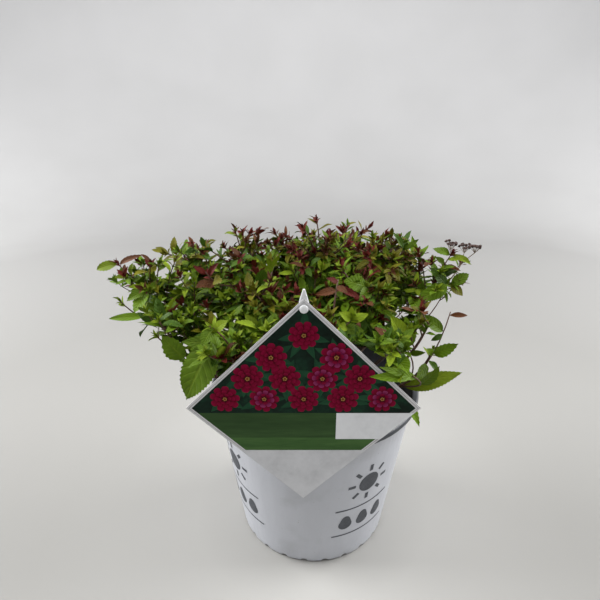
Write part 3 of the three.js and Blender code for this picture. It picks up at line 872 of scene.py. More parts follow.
def pot_profile():
    """The pot's outline in three parts: its underside, its outer wall, and its rolled lip with the inside."""
    under_lip = POT.height - POT.lip_height
    lip = POT.lip_radius - POT.roll
    inner = inner_radius_at(POT.height)
    floor = POT.channel_depth + POT.wall
    foot_inside = POT.base_radius - POT.foot_width
    underside = [
        (TINY, 0),
        (POT.boss_radius, 0),
        (POT.boss_radius + 2, POT.channel_depth),
        (foot_inside - 2, POT.channel_depth),
        (foot_inside, 0),
        (POT.base_radius - POT.foot_round, 0),
        (POT.base_radius - 0.4, 0.4),
    ]
    wall = [(outer_radius_at(z), z) for z in (POT.foot_round, *POT.rows, under_lip - 0.6)]
    rolled = [(outer_radius_at(under_lip) + 0.5, under_lip)]
    rolled += arc((lip, under_lip + POT.roll), POT.roll, -90, 0, 5)
    rolled += arc((lip - 0.4, POT.height - 2), 2, 5, 90, 6)
    rolled += arc((inner + POT.roll, POT.height - POT.roll), POT.roll, 90, 180, 5)
    inside = [(inner_radius_at(z), z) for z in (POT.height - 8, 130, 60, floor + 3)]
    inside += [(inner_radius_at(floor) - 3, floor), (TINY, floor)]
    return underside, wall, rolled + inside


def notch_azimuths(pitch, half):
    """Azimuths of the pot's corners, which are close together at each notch's edges."""
    steps = [-1, -0.93, -0.75, -0.4, 0, 0.4, 0.75, 0.93, 1, 2, 4]
    offsets = [half * step for step in steps if half * step < pitch - half]
    return [pitch * (i + 0.5) + offset for i in range(POT.notches) for offset in offsets]


def make_pot():
    """White outside, and dark on the rolled lip, inside and underneath, with arched slots in the foot."""
    underside, wall, rest = pot_profile()
    half = POT.notch_width / 2 / POT.base_radius
    pitch = TURN / POT.notches
    azimuths = notch_azimuths(pitch, half)
    corners, faces = turned(underside + wall + rest, azimuths)
    foot = range(len(underside) - 3, len(underside) + 1)  # its rows, from its inner edge to the wall's
    for row in foot:
        for column, azimuth in enumerate(azimuths):
            across = (azimuth % pitch - pitch / 2) / half
            rise = POT.notch_height * math.sqrt(max(0, 1 - across**2))
            corner = corners[row * len(azimuths) + column]
            if rise > 0:
                corner.z = max(corner.z, rise + 0.1 * (row - foot.start))
    outside = range(len(underside), len(underside) + len(wall) - 1)
    tones = [0 if face[0] // len(azimuths) in outside else 1 for face in faces]
    shape = Shape().add(corners, faces, tones=tones)
    add_piece("nursery_pot", shape, [pot_white(), finish("pot_slate")], ["pot"])


def on_pot(along, z, azimuth):
    """A point just proud of the pot's wall, this far round from an azimuth."""
    radius = outer_radius_at(z) + SIGNS.proud
    return polar(radius, azimuth + along / radius, z)


def add_disc(shape, centre_z, azimuth, radius, point, rings, sides):
    """A printed disc, wrapped round the pot. With a point it reaches further at its top, as a drop does."""
    corners = []
    for i in range(rings + 1):
        for turn in turns(sides):
            reach = radius * i / rings * (1 + point * max(0, math.cos(turn)) ** 6)
            corners.append(on_pot(reach * math.sin(turn), centre_z + reach * math.cos(turn), azimuth))
    shape.add(corners, grid_faces(rings + 1, sides))


def add_bar(shape, azimuth, start, end, width):
    """A printed bar between two points of the wrapped plane, as strips."""
    (x0, z0), (x1, z1) = start, end
    length = math.hypot(x1 - x0, z1 - z0)
    over = (-(z1 - z0) / length * width / 2, (x1 - x0) / length * width / 2)
    steps = max(1, round(length / 3))
    corners = []
    for i in range(steps + 1):
        x, z = lerp(x0, x1, i / steps), lerp(z0, z1, i / steps)
        corners += [on_pot(x + side * over[0], z + side * over[1], azimuth) for side in (-1, 1)]
    shape.add(corners, grid_faces(steps + 1, 2, closed=False))


def make_pot_print():
    """Plain care signs in grey print, several times round the pot."""
    shape = Shape()
    for copy in range(SIGNS.copies):
        azimuth = math.radians(SIGNS.azimuth + 360 / SIGNS.copies * copy)
        add_disc(shape, SIGNS.sun_z, azimuth, SIGNS.sun_radius, 0, 4, 36)
        for turn in turns(SIGNS.rays):
            start, end = ((r * math.sin(turn), SIGNS.sun_z + r * math.cos(turn)) for r in SIGNS.ray_ends)
            add_bar(shape, azimuth, start, end, SIGNS.ray_width)
        for z in SIGNS.rule_heights:
            add_bar(shape, azimuth, (-SIGNS.rule_half, z), (SIGNS.rule_half, z), SIGNS.rule_width)
        for x in SIGNS.drop_places:
            place = azimuth + x / outer_radius_at(50)
            add_disc(shape, SIGNS.drop_z, place, SIGNS.drop_radius, SIGNS.drop_point, 3, 28)
    add_piece("pot_print", shape, [finish("pot_ink")])


def soil_height(x, y):
    """Height of the peat's rough surface."""
    past_flat = max(0, math.hypot(x, y) - SOIL.flat_radius) / POT.base_radius
    lumps = 1.5 * noise.noise(Vector((x, y, 3)) / 11) + 0.7 * noise.noise(Vector((x, y, 9)) / 3.2)
    return SOIL.level - SOIL.slope * past_flat - 1.0 + lumps


def on_soil(radius, azimuth, lift=0.0):
    """A point on the peat, or lifted from it."""
    point = polar(radius, azimuth)
    point.z = soil_height(point.x, point.y) + lift
    return point


def peat_radius():
    return inner_radius_at(SOIL.level) - SOIL.gap


def make_soil():
    """Peat that fills the pot, with a rough surface."""
    azimuths = turns(SOIL.sides)
    corners = [polar(TINY, a, SOIL.floor) for a in azimuths]
    corners += [polar(inner_radius_at(SOIL.floor) - 3.5, a, SOIL.floor) for a in azimuths]
    for i in range(SOIL.rings, -1, -1):
        corners += [on_soil(max(TINY, peat_radius() * i / SOIL.rings), a) for a in azimuths]
    shape = Shape().add(corners, grid_faces(SOIL.rings + 3, SOIL.sides))
    add_piece("peat", shape, [finish("peat")], ["soil"])


def chip_corners(i):
    """The corners of one chip: four rows of four, wide in the middle and narrow at its ends."""
    length, width = between(*CHIPS.length, i, 3), between(*CHIPS.width, i, 4)
    thick = between(*CHIPS.thickness, i, 5)
    heading = polar(1, TURN * chance(i, 6), between(-CHIPS.tilt, CHIPS.tilt, i, 7)).normalized()
    side = heading.cross(UP).normalized()
    over = side.cross(heading)
    centre = on_soil((peat_radius() - 5) * math.sqrt(chance(i, 1)), TURN * chance(i, 2), 0.3 * thick)
    corners = []
    for along, share in ((-0.5, 0.55), (-0.15, 1), (0.25, 0.9), (0.5, 0.35)):
        middle = centre + heading * along * length + over * 0.3 * along
        for y, z in ((-1, -1), (1, -1), (0.8, 1), (-0.7, 1)):
            corners.append(middle + side * y * width * share / 2 + over * z * thick / 2)
    return corners


def make_chips():
    """Chips of bark and twig that lie on the peat."""
    shape = Shape()
    for i in range(CHIPS.count):
        shape.add(chip_corners(i), capped_faces(4, 4))
    add_piece("bark_chips", shape, [finish("bark_chips")], smooth=False)


# ---------- label and stake ----------


def on_card(x, z, layer):
    """A point on the card's front, x from its middle, raised by layers of print."""
    return Vector((LABEL.centre_x + x, LABEL.front_y - layer * LABEL.layer, z))


def diamond(half, count):
    """Points round a square that stands on a corner: from its top down its left side, and up its right."""
    heights = [half * (abs(4 * i / count - 2) - 1) for i in range(count)]
    return [((half - abs(z)) * (-1 if 2 * i < count else 1), z) for i, z in enumerate(heights)]


def make_card():
    """The card, with softened edges and the hole for its peg."""
    circle = [polar(LABEL.hole_radius, TURN / 4 + turn) for turn in turns(LABEL.sides)]
    hole = [(point.x, LABEL.peg_z - LABEL.centre_z + point.y) for point in circle]
    face = diamond(LABEL.half - LABEL.edge * DIAGONAL, LABEL.sides)
    rim = diamond(LABEL.half, LABEL.sides)
    outlines = [(hole, 0), (face, 0), (rim, LABEL.edge), (rim, 1 - LABEL.edge), (face, 1), (hole, 1)]
    corners = []
    for outline, depth in outlines:
        y = lerp(LABEL.front_y, LABEL.back_y, depth)
        corners += [Vector((LABEL.centre_x + x, y, LABEL.centre_z + z)) for x, z in outline]
    rows = len(corners) // LABEL.sides
    faces = [[i % len(corners) for i in face] for face in grid_faces(rows + 1, LABEL.sides)]
    grey = finish("card_grey")
    shape = Shape().add(corners, faces)
    add_piece("label_card_blank", shape, [grey], ["label_card"], smooth=False)


def edge_x(z, half):
    """How far the card's outline, shrunk to a half diagonal, reaches sideways at a height."""
    return half - abs(z - LABEL.centre_z)


def clipped(half, low, high):
    """The part of the shrunk outline between two heights."""
    right = [(edge_x(z, half), z) for z in (low, LABEL.centre_z, high) if low <= z <= high]
    return right + [(-x, z) for x, z in reversed(right)]


def in_picture(centre, radius=0.0):
    """True if a round motif on the card keeps inside the picture."""
    past = abs(centre[0]) + abs(centre[1] - LABEL.centre_z) + DIAGONAL * radius
    return past <= LABEL.inner and centre[1] - radius >= LABEL.picture_z


def bloom_places():
    """Middles of the blooms, in level rows that fill the picture."""
    z = LABEL.picture_z + BLOOM.radius + 0.3
    while in_picture((0, z), BLOOM.radius):
        room = edge_x(z, LABEL.inner) - DIAGONAL * BLOOM.radius
        count = int(2 * room / (BLOOM.pitch * BLOOM.radius)) + 1
        for k in range(count):
            yield (0 if count == 1 else lerp(-room, room, k / (count - 1)), z)
        z += BLOOM.row_step


def add_petals(shape, centre, radius, petals, start, layer):
    """A disc with a scalloped edge: a ring of rounded petals, whose places are (outwards, across, petal)."""
    per_petal, rings = 8, 4
    sides = petals * per_petal
    corners, places = [], []
    for i in range(rings + 1):
        for j, turn in enumerate(turns(sides)):
            across = abs(2 * (j / per_petal % 1) - 1)  # 1 between two petals
            reach = polar(radius * i / rings * (1 - BLOOM.scallop * across**3), start + turn)
            corners.append(on_card(centre[0] + reach.x, centre[1] + reach.y, layer))
            places.append((i / rings, across, start + j // per_petal))
    shape.add(corners, grid_faces(rings + 1, sides), places)


def add_printed_leaf(shape, root, turn, length, width, layer):
    """A pointed oval leaf. Its places are (along, across, turn)."""
    stations = 9
    corners, places = [], []
    for i in range(stations):
        along = i / (stations - 1)
        half = max(0.02, width / 2 * math.sin(math.pi * along**0.85))
        for side in (-1, 0, 1):
            reach = polar(along * length, turn) + polar(side * half, turn + TURN / 4)
            corners.append(on_card(root[0] + reach.x, root[1] + reach.y, layer))
            places.append((along, side, turn))
    shape.add(corners, grid_faces(stations, 3, closed=False), places)


def make_blooms(sheets):
    """Round garden blooms in rows, each with a few leaves behind it, all inside the picture. Each has layers
    of its own, so that two that overlap don't share a plane."""
    for i, centre in enumerate(bloom_places()):
        start = TURN * chance(i, 40)
        for k, turn in enumerate(turns(BLOOM.leaves)):
            reach = polar(BLOOM.radius * between(1.3, 1.75, i, k), start + turn)
            if in_picture((centre[0] + reach.x, centre[1] + reach.y)):
                width, layer = BLOOM.leaf_width * BLOOM.radius, 2 + 0.075 * i + 0.01 * k
                add_printed_leaf(sheets["leaves"], centre, start + turn, reach.length, width, layer)
        radius = BLOOM.radius * between(0.9, 1, i, 41)
        for k, (share, petals, twist, usual, third) in enumerate(PETAL_RINGS):
            sheet = sheets[third if i % 3 == 1 else usual]
            add_petals(sheet, centre, share * radius, petals, start + twist, 3 + 0.07 * i + k)


def make_fields(sheets):
    """The even fields: the picture's ground, the green bands, the grey box, the foot and the rims."""
    inner, full = LABEL.inner, LABEL.half - LABEL.margin
    low, high, x = LABEL.band_z, LABEL.picture_z, LABEL.box_x
    box_low = low - 1.2

    def lay(name, outline, layer):
        sheets[name].add([on_card(x, z, layer) for x, z in outline], [list(range(len(outline)))])

    lay("ground", clipped(inner, high, LABEL.centre_z + inner - TINY), 1)
    lay("band", [(-edge_x(low, inner), low), (x, low), (x, high), (-edge_x(high, inner), high)], 1)
    lay("box", [(x, box_low), (edge_x(box_low, full), box_low), (edge_x(high, full), high), (x, high)], 2)
    lay("band_light", clipped(inner, LABEL.foot_z, low), 1)
    lay("foot", clipped(full, LABEL.centre_z - full + TINY, LABEL.foot_z), 1)
    for inset in LABEL.rims:
        outer = LABEL.half - inset
        ring = diamond(outer, 4) + diamond(outer - LABEL.rim_width, 4)
        sheets["rim"].add([on_card(-x, LABEL.centre_z + z, 0.6) for x, z in ring], grid_faces(2, 4))


def make_label_print():
    """A generic printed design: a picture of round garden blooms, two green bands, and bare pale fields."""
    materials = {name: printed_finish(name) for name in PRINTED_TONES}
    materials.update({name: petal_finish(name) for name in PETAL_TONES})
    sheets = {name: Shape() for name in materials}
    make_fields(sheets)
    make_blooms(sheets)
    for name, shape in sheets.items():
        add_piece(f"label_print_{name}", shape, [materials[name]], smooth=False)


def add_stake_bar(shape):
    """The leaning bar behind the card: eight-sided, with tapered ends."""
    rows = [
        (STAKE.bottom_z, 0.4),
        (STAKE.bottom_z + STAKE.taper, 1),
        (STAKE.top_z - STAKE.taper, 0.92),
        (STAKE.top_z - STAKE.taper / 2, 0.56),
        (STAKE.top_z, 0.2),
    ]
    corners = []
    for z, share in rows:
        y = LABEL.back_y + STAKE.gap + (LABEL.top_z - z) * STAKE.lean
        x = STAKE.width / 2 * share
        outline = [(-x, STAKE.edge), (-x + STAKE.edge, 0), (x - STAKE.edge, 0), (x, STAKE.edge)]
        outline += [(px, STAKE.thickness - py) for px, py in reversed(outline)]
        corners += [Vector((LABEL.centre_x + px, y + py, z)) for px, py in outline]
    shape.add(corners, capped_faces(len(rows), 8))


def add_button(shape):
    """The domed button whose peg goes through the card into the bar."""
    profile = [(TINY, -BUTTON.peg_length), (BUTTON.peg_radius, -BUTTON.peg_length), (BUTTON.peg_radius, 0)]
    profile += [(BUTTON.radius, 0), (BUTTON.radius, BUTTON.rim)]
    profile += [(BUTTON.radius * x, BUTTON.rim + BUTTON.dome * y) for x, y in arc((0, 0), 1, 20, 80, 3)]
    profile += [(TINY, BUTTON.rim + BUTTON.dome)]
    corners, faces = turned(profile, turns(BUTTON.sides))
    front = LABEL.front_y - STAKE.gap
    shape.add([Vector((LABEL.centre_x + c.x, front - c.z, LABEL.peg_z + c.y)) for c in corners], faces)


def make_stake():
    shape = Shape()
    add_stake_bar(shape)
    add_button(shape)
    white = finish("stake_white")
    add_piece("label_stake_white", shape, [white], ["label_stake"], smooth=False)


# ---------- the crown ----------


def stem_of(index, row):
    """A stem: its bare bough, its leader, and the middle of its mass."""
    name, tier, azimuth, reach, tip, arch = row
    away = polar(1, math.radians(azimuth))
    radius, height = TIERS[tier]
    root = away * radius + UP * (BASE.z + height)
    end = away * reach + UP * (tip - BELOW_SURFACE)
    bend = away * reach * (0.5 + arch) + UP * lerp(root.z, end.z, 0.5 - arch)
    whole = Curve(root, bend, end)
    leader = whole.stretch(FORK + GAP / whole.length * 1.15, 1)
    return Sizes(
        name=name,
        index=index,
        tier=tier,
        azimuth=math.radians(azimuth),
        reach=reach,
        tip=tip,
        whole=whole,
        leader=leader,
        middle=leader.blossom(MASS_MIDDLE, MASS_MIDDLE),
    )


def add_walls(stem, stems):
    """The planes halfway between the middle of a mass and those of the others."""
    others = [other.middle for other in stems if other is not stem]
    across = [(stem.middle - other).normalized() for other in others]
    stem.normals = np.array(across)
    stem.offsets = np.array([n.dot((stem.middle + other) / 2) for n, other in zip(across, others)])


def mean(pairs):
    """The mean of (weight, value) pairs."""
    return sum(weight * value for weight, value in pairs) / sum(weight for weight, value in pairs)


def mound_height(x, y):
    """Height of the mound's surface over a point, from the stems whose tips are near it."""
    pairs = []
    for stem in standing:
        end = stem.leader.end
        pairs.append((((end.x - x) ** 2 + (end.y - y) ** 2 + CANOPY.blend**2) ** -2, stem.tip))
    return mean(pairs) - CANOPY.back_fall * max(0, y)


def clear_of_pot(point):
    """True if a point is clear of the pot, the soil, the label and its stake, and behind the label's face."""
    room = CANOPY.clearance
    if point.z < SOIL.level + room:
        return False
    if point.z < POT.height + room and math.hypot(point.x, point.y) > inner_radius_at(POT.height) - room:
        return False
    across = point.x - LABEL.centre_x
    past_edge = abs(across) + abs(point.z - LABEL.centre_z) - LABEL.half
    if past_edge < 2 * room and point.y < LABEL.back_y + room:
        return False
    stake_y = LABEL.back_y + (LABEL.top_z - point.z) * STAKE.lean
    beside = abs(across) > STAKE.width / 2 + room
    return beside or point.y > stake_y + STAKE.thickness + room or point.z > STAKE.top_z


def has_room(point, radius, stem):
    """True if a ball about a point keeps to the mass's own space. A radius below 0 lets it reach over."""
    slack = CANOPY.slack
    if not all(low - slack < p < high + slack for p, low, high in zip(point, stem.low, stem.high)):
        return False
    depth = float((stem.normals @ np.array(point) - stem.offsets).min())
    return depth >= radius + GAP and clear_of_pot(point)


def is_open(point):
    return any(all(a < p < b for p, a, b in zip(point, low, high)) for low, high in OPEN_SPACES)


def depth_under_surface(point):
    return mound_height(point.x, point.y) - point.z


def rim_radius(point):
    """How far the crown reaches on a point's side, from the outer stems nearest to it."""
    azimuth = math.atan2(point.y, point.x)
    pairs = [((1.02 - math.cos(azimuth - s.azimuth)) ** -2, s.reach) for s in stems if s.tier == "side"]
    return mean(pairs)


def gets_light(point, stem, draw):
    """True if a leaf or twig grows at a point: always above the crown's underside, which rises outwards, and
    rarely below it. The low stems at the pot's lip stand in the light."""
    inwards = max(0, rim_radius(point) - math.hypot(point.x, point.y))
    lowest = CANOPY.rim_depth + CANOPY.slope * inwards + CANOPY.back_depth * max(0, point.y)
    below = depth_under_surface(point) - lowest
    return stem.tier == "foot" or draw < max(CANOPY.rest, 1 - max(0, below) / CANOPY.fading)


def is_kept(limb_end, stem, draw, hardiness=1.0):
    """True if a shoot or twig lives: fewer do close under the mound's surface, and in the shade."""
    is_under_crest = depth_under_surface(limb_end) > CANOPY.crest * draw
    return is_under_crest and gets_light(limb_end, stem, hardiness * draw)


def turned_up(start, heading, length):
    """The line of a shoot or twig that leaves its limb at an angle, and then turns up."""
    bend = start + heading * 0.5 * length
    upwards = (heading * 0.7 + UP).normalized()
    return Curve(start, bend, bend + upwards * 0.55 * length)


def shoot_curve(stem, number, turn):
    share = (number + 0.1 + 0.5 * chance(stem.index, 10 + number)) / (SHOOT.per_leader - 0.2)
    start, axis = stem.leader.at(share)
    heading = leaning(axis, SHOOT.divergence, turn)
    heading.z = max(heading.z, 0.1)
    heading.normalize()
    ahead = start + SHOOT.look_ahead * heading
    top = stem.tip if stem.tier == "foot" else mound_height(ahead.x, ahead.y)
    unevenness = SHOOT.roughness * (3 * chance(stem.index, 30 + number) ** 3 - 1)  # a few stand out
    rise = top - SHOOT.below_surface - start.z + unevenness
    return turned_up(start, heading, min(max(rise * 1.1, SHOOT.shortest), SHOOT.longest))


def twig_curve(shoot, share, turn, seed):
    start, axis = shoot.at(share)
    heading = leaning(axis, TWIG.divergence, turn)
    heading.z = max(heading.z, 0.05)
    length = between(TWIG.shortest, TWIG.longest, seed, 5) * (1.15 - 0.4 * share)
    return turned_up(start, heading.normalized(), length)


def tried_turns(number, draw, count):
    """The turns round a limb at which its next shoot or twig is tried."""
    return [GOLDEN_ANGLE * (number + 1.7 * i) + TURN * draw for i in range(count)]


def first_with_room(curves, stem, shares=(0.3, 0.6, 1)):
    """The first of some curves that keeps to the mass's space, or None."""
    for curve in curves:
        points = [curve.at(share)[0] for share in shares]
        if all(has_room(point, 1.5, stem) and not is_open(point) for point in points):
            return curve
    return None


def pick(shares, draw):
    """The name whose share of the whole a draw from 0 to 1 falls in."""
    for name, share in shares.items():
        draw -= share
        if draw < 0:
            return name
    return name


def limb_of(stem, curve, seed, kind, bare=0.0):
    """A limb with the tints of its spray: the young tips are red where they stand in the light."""
    end = curve.end
    high = depth_under_surface(end) < CANOPY.red_depth and end.z > CANOPY.red_height - CANOPY.red_lean * end.x
    return Sizes(
        stem=stem,
        curve=curve,
        seed=seed,
        kind=kind,
        bare=bare,
        tint=pick(HIGH_SPRAY_TINTS if high else LOW_SPRAY_TINTS, chance(seed, 70)),
        tip_tint=pick(HIGH_TIP_TINTS if high else LOW_TIP_TINTS, chance(seed, 71)),
    )


def twigs_on(shoot, stem, seed):
    """The twigs of one shoot, where there is room and light for them."""
    for k in range(TWIG.per_shoot):
        share = (k + 0.6 + 0.3 * chance(seed, k)) / (TWIG.per_shoot + 0.3)
        tries = tried_turns(k, chance(seed, 4), TWIG.tries)
        twig = first_with_room((twig_curve(shoot, share, turn, seed + k) for turn in tries), stem, (0.5, 1))
        if twig and is_kept(twig.end, stem, chance(seed, 80 + k)):
            yield limb_of(stem, twig, 10 * seed + k + 5000, "twig")


def grow(stem):
    """All limbs of one mass: its leader, the shoots on that, and the twigs on those."""
    limbs = [limb_of(stem, stem.leader, 1000 + stem.index, "leader", 0.3)]
    count = SHOOT.foot_count if stem.tier == "foot" else SHOOT.count
    for i in range(count):
        number = i * SHOOT.per_leader / count
        tries = tried_turns(i, chance(stem.index, 3), SHOOT.tries)
        shoot = first_with_room((shoot_curve(stem, number, turn) for turn in tries), stem)
        if shoot and is_kept(shoot.end, stem, chance(stem.index, 60 + i), CANOPY.hardiness):
            seed = 100 * stem.index + i
            limbs.append(limb_of(stem, shoot, seed, "shoot"))
            limbs += twigs_on(shoot, stem, seed)
    return limbs


# ---------- leaves ----------


def leaf_outline(along):
    """Half the width of a leaf at a share of its length, against its widest half, above a short stalk."""
    t = (along - LEAF.stalk) / (1 - LEAF.stalk)
    if t < 0:
        return LEAF.stalk_width
    return LEAF.stalk_width * (1 - t) + t**0.75 * (1 - t) ** 1.05 / 0.283


def leaf_template(stations, columns, teeth):
    """Corners and faces of a flat leaf. A corner is (across, along, its place across), in shares of the half
    width and the length. Teeth is the depth of the teeth, in shares of the half width."""
    corners = []
    for i in range(stations):
        along = i / stations
        for j in range(columns):
            across = 2 * j / (columns - 1) - 1
            tooth = i % 2 - 0.5 if teeth and abs(across) == 1 and i > 1 else 0
            reach = leaf_outline(along) * (1 + teeth * tooth)
            corners.append((across * reach, along + 0.35 * tooth / stations, across))
    corners.append((0, 1, 0))
    faces = grid_faces(stations, columns, closed=False)
    last = (stations - 1) * columns
    faces += [[last + j, last + j + 1, stations * columns] for j in range(columns - 1)]
    return np.array(corners), faces


FINE = leaf_template(37, 5, 0.09)
SERRATE = leaf_template(15, 5, 0.13)
PLAIN = leaf_template(7, 3, 0)


def new_leaf(root, direction, face, length, seed, **changes):
    """A leaf that grows from its root along a direction, with its upper side towards face. Curl is the angle
    that its rib bends down by, and fold the angle of each half."""
    side = direction.cross(face).normalized()
    values = dict(
        width=LEAF.slenderness * between(0.88, 1.12, seed, 11),
        curl=between(0.15, 0.95, seed, 12),
        fold=between(0.08, 0.42, seed, 13),
        twist=between(-0.5, 0.5, seed, 14),
        wave=between(0.0, 0.08, seed, 15),
        lot=chance(seed, 16),
    )
    values.update(changes)
    return Sizes(root=root, direction=direction, side=side, length=length, **values)


def rib_at(leaf, along):
    """A point of a leaf's bent rib."""
    face = leaf.side.cross(leaf.direction)
    bent = leaf.curl * along
    reach = leaf.direction * math.sin(bent) - face * (1 - math.cos(bent))
    return leaf.root + reach * leaf.length / leaf.curl


def leaf_fits(leaf, stem):
    middle = rib_at(leaf, 0.42)
    half = leaf.side * leaf.width * leaf.length / 2
    points = (rib_at(leaf, 1), middle + half, middle - half, rib_at(leaf, 0.7))
    return all(has_room(point, -LEAF.overlap, stem) for point in points)


def leaf_towards(root, tip, width, seed):
    """A leaf whose bent rib runs from its root to its tip, with its face up, outwards and to the front."""
    chord = (tip - root).normalized()
    outwards = Vector((root.x, root.y, 0)).normalized()
    side = chord.cross(0.7 * UP + 0.3 * outwards + FRONT).normalized()
    face = side.cross(chord)
    curl = between(0.3, 0.8, seed, 12)
    direction = chord * math.cos(curl / 2) + face * math.sin(curl / 2)
    length = (tip - root).length * (curl / 2) / math.sin(curl / 2)
    return new_leaf(root, direction, face, length, seed, width=width, curl=curl, twist=0.0)


def leaves_along(limb):
    """Pairs of tint and leaf along a limb, alternate round it, where they get light."""
    spacing, longest = LEAF.spacing, LEAF.length
    if limb.kind == "twig":
        spacing, longest = LEAF.twig_spacing, LEAF.twig_length
    count = max(3, round(limb.curve.length * (1 - limb.bare) / spacing))
    reddens = limb.tip_tint == "burgundy"
    for i in range(count):
        share = min(0.97, (i + 0.7) / (count - 0.3))
        root, axis = limb.curve.at(lerp(limb.bare, 1, share))
        draw = chance(limb.seed, 200 + i)
        if not gets_light(root, limb.stem, draw):
            continue
        age = max(0, min(1, (LEAF.young_height - root.z) / (LEAF.young_height - LEAF.grown_height)))
        size = lerp(LEAF.young, 1, age) * lerp(1, LEAF.smallest, share) * between(*LEAF.sizes, limb.seed, i)
        for attempt in range(LEAF.tries):
            turn = GOLDEN_ANGLE * i + TURN * chance(limb.seed, 99) + LEAF.next_turn * attempt
            direction = leaning(axis, LEAF.divergence * (1.12 - 0.5 * share), turn)
            direction.z -= LEAF.droop * (1 - share)
            face = axis + UP * LEAF.to_light
            length = longest * size * (1 - 0.04 * attempt)
            leaf = new_leaf(root, direction.normalized(), face, length, limb.seed + 7 * i)
            tip = rib_at(leaf, 1)
            lit = gets_light(tip + UP * LEAF.hang, limb.stem, draw)
            lit = lit and not any(is_open(rib_at(leaf, along)) for along in (0.2, 0.6, 1))
            if lit and leaf_fits(leaf, limb.stem):
                yield ("bronze" if reddens and share > LEAF.bronze_from else limb.tint), leaf
                break


def tip_leaves(limb):
    """Pairs of tint and leaf: the small upright young leaves along the last of a limb."""
    for i in range(TIP.leaves):
        late = i / (TIP.leaves - 1)
        root, axis = limb.curve.at(1 - TIP.spread * (1 - late))
        turn = GOLDEN_ANGLE * i + TURN * chance(limb.seed, 98)
        direction = leaning(axis, math.radians(lerp(*TIP.angles, late)), turn)
        seed = limb.seed + 31 * i
        length = between(TIP.shortest, TIP.longest, seed, 50) * lerp(*TIP.sizes, late)
        curl, fold = between(*TIP.curl, seed, 1), between(*TIP.fold, seed, 2)
        leaf = new_leaf(root, direction, axis, length, seed, width=TIP.slenderness, curl=curl, fold=fold)
        if leaf_fits(leaf, limb.stem):
            yield limb.tip_tint, leaf


def stem_called(name):
    return next(stem for stem in stems if stem.name == name)


def sprig_limb(number, row):
    """The limb of one of the photo's own sprigs."""
    name, share, bend, end, tip_tint, _ = row
    stem = stem_called(name)
    start, _ = stem.leader.at(share)
    limb = limb_of(stem, Curve(start, Vector(bend), Vector(end)), SPRIG_SEED + SEED_STEP * number, "shoot")
    limb.tip_tint = tip_tint
    return limb


def rising_curve(stem, share, end):
    """A shoot from a share of a stem's leader to its own end."""
    start, axis = stem.leader.at(share)
    bend = start.lerp(end, 0.45) + axis * 0.15 * (end - start).length
    return Curve(start, bend, end)


def tall_limb(number, row):
    """The limb of one of the shoots that stand out at the top."""
    name, share, end, tip_tint = row
    stem = stem_called(name)
    limb = limb_of(stem, rising_curve(stem, share, Vector(end)), TALL_SEED + SEED_STEP * number, "shoot")
    limb.tip_tint = tip_tint
    return limb


def crest_limb(number):
    """The limb of one of the shoots that close the top, from the stem whose tip is nearest."""
    spot = Vector(CREST.middle).to_3d()
    spot += polar(CREST.radius * math.sqrt((number + 0.5) / CREST.count), GOLDEN_ANGLE * number)
    seed = CREST_SEED + SEED_STEP * number
    spot.z = mound_height(spot.x, spot.y) - CREST.deepest * chance(seed, 90)
    stem = min(standing, key=lambda other: (other.leader.end - spot).length)
    return limb_of(stem, rising_curve(stem, CREST.start, spot), seed, "shoot")


def sprig_leaves(limb, row):
    """Pairs of tint and leaf: the leaves of a sprig, each to its own tip, and the young ones at its end."""
    for k, (share, tip, width, tint) in enumerate(row[-1]):
        root, _ = limb.curve.at(share)
        yield tint, leaf_towards(root, Vector(tip), width, limb.seed + k)
    yield from tip_leaves(limb)


def add_leaves(shape, leaves, template):
    """Many leaves at once, each bent along its length, folded along its rib, twisted and waved."""
    corners, faces = template
    across, along, place = (corners[:, k][None, :, None] for k in range(3))

    def column(key):
        return np.array([getattr(leaf, key) for leaf in leaves]).reshape(len(leaves), 1, -1)

    root, direction, side = column("root"), column("direction"), column("side")
    face = np.cross(side, direction)
    length, lot, curl, fold = column("length"), column("lot"), column("curl"), column("fold")
    bent = curl * along
    rib = root + length * (np.sin(bent) / curl * direction - (1 - np.cos(bent)) / curl * face)
    ahead = np.cos(bent) * direction - np.sin(bent) * face
    over = np.cross(side, ahead)
    turn = column("twist") * along
    outwards = np.cos(turn) * side + np.sin(turn) * over
    raised = np.cos(turn) * over - np.sin(turn) * side
    half = across * length * column("width") / 2
    wave = column("wave") * np.sin(9 * along + 6.3 * lot) * np.abs(place)
    height = np.abs(half) * np.sin(fold) + wave * length * 0.5
    points = rib + half * np.cos(fold) * outwards + height * raised
    size = (*points.shape[:2], 1)
    places = np.concatenate([np.broadcast_to(values, size) for values in (place, along, lot)], axis=2)
    numbered = [[k * len(corners) + i for i in face] for k in range(len(leaves)) for face in faces]
    shape.add(points, numbered, places)


def make_leaves(tint, leaves):
    """All leaves of one tint. The longer a leaf, the finer its teeth."""
    shape = Shape()
    limits = [0, LEAF.serrate_from, LEAF.fine_from, math.inf]
    for shortest, longest, template in zip(limits, limits[1:], (PLAIN, SERRATE, FINE)):
        mine = [leaf for leaf in leaves if shortest <= leaf.length < longest]
        if mine:
            add_leaves(shape, mine, template)
    add_piece(f"leaves_{tint}", shape, [leaf_finish(tint)], masses)


# ---------- wood and seed heads ----------


def bark_relief(around):
    """Ridges, and a swelling at each old leaf scar, as a share of a limb's radius."""
    ridges = noise.noise(Vector((around.x * 0.9, around.y * 0.9, around.z * 0.12)))
    scars = math.exp(-(((around.z / 13) % 1 - 0.5) * 9) ** 2)
    return 1 + 0.14 * ridges + 0.16 * scars


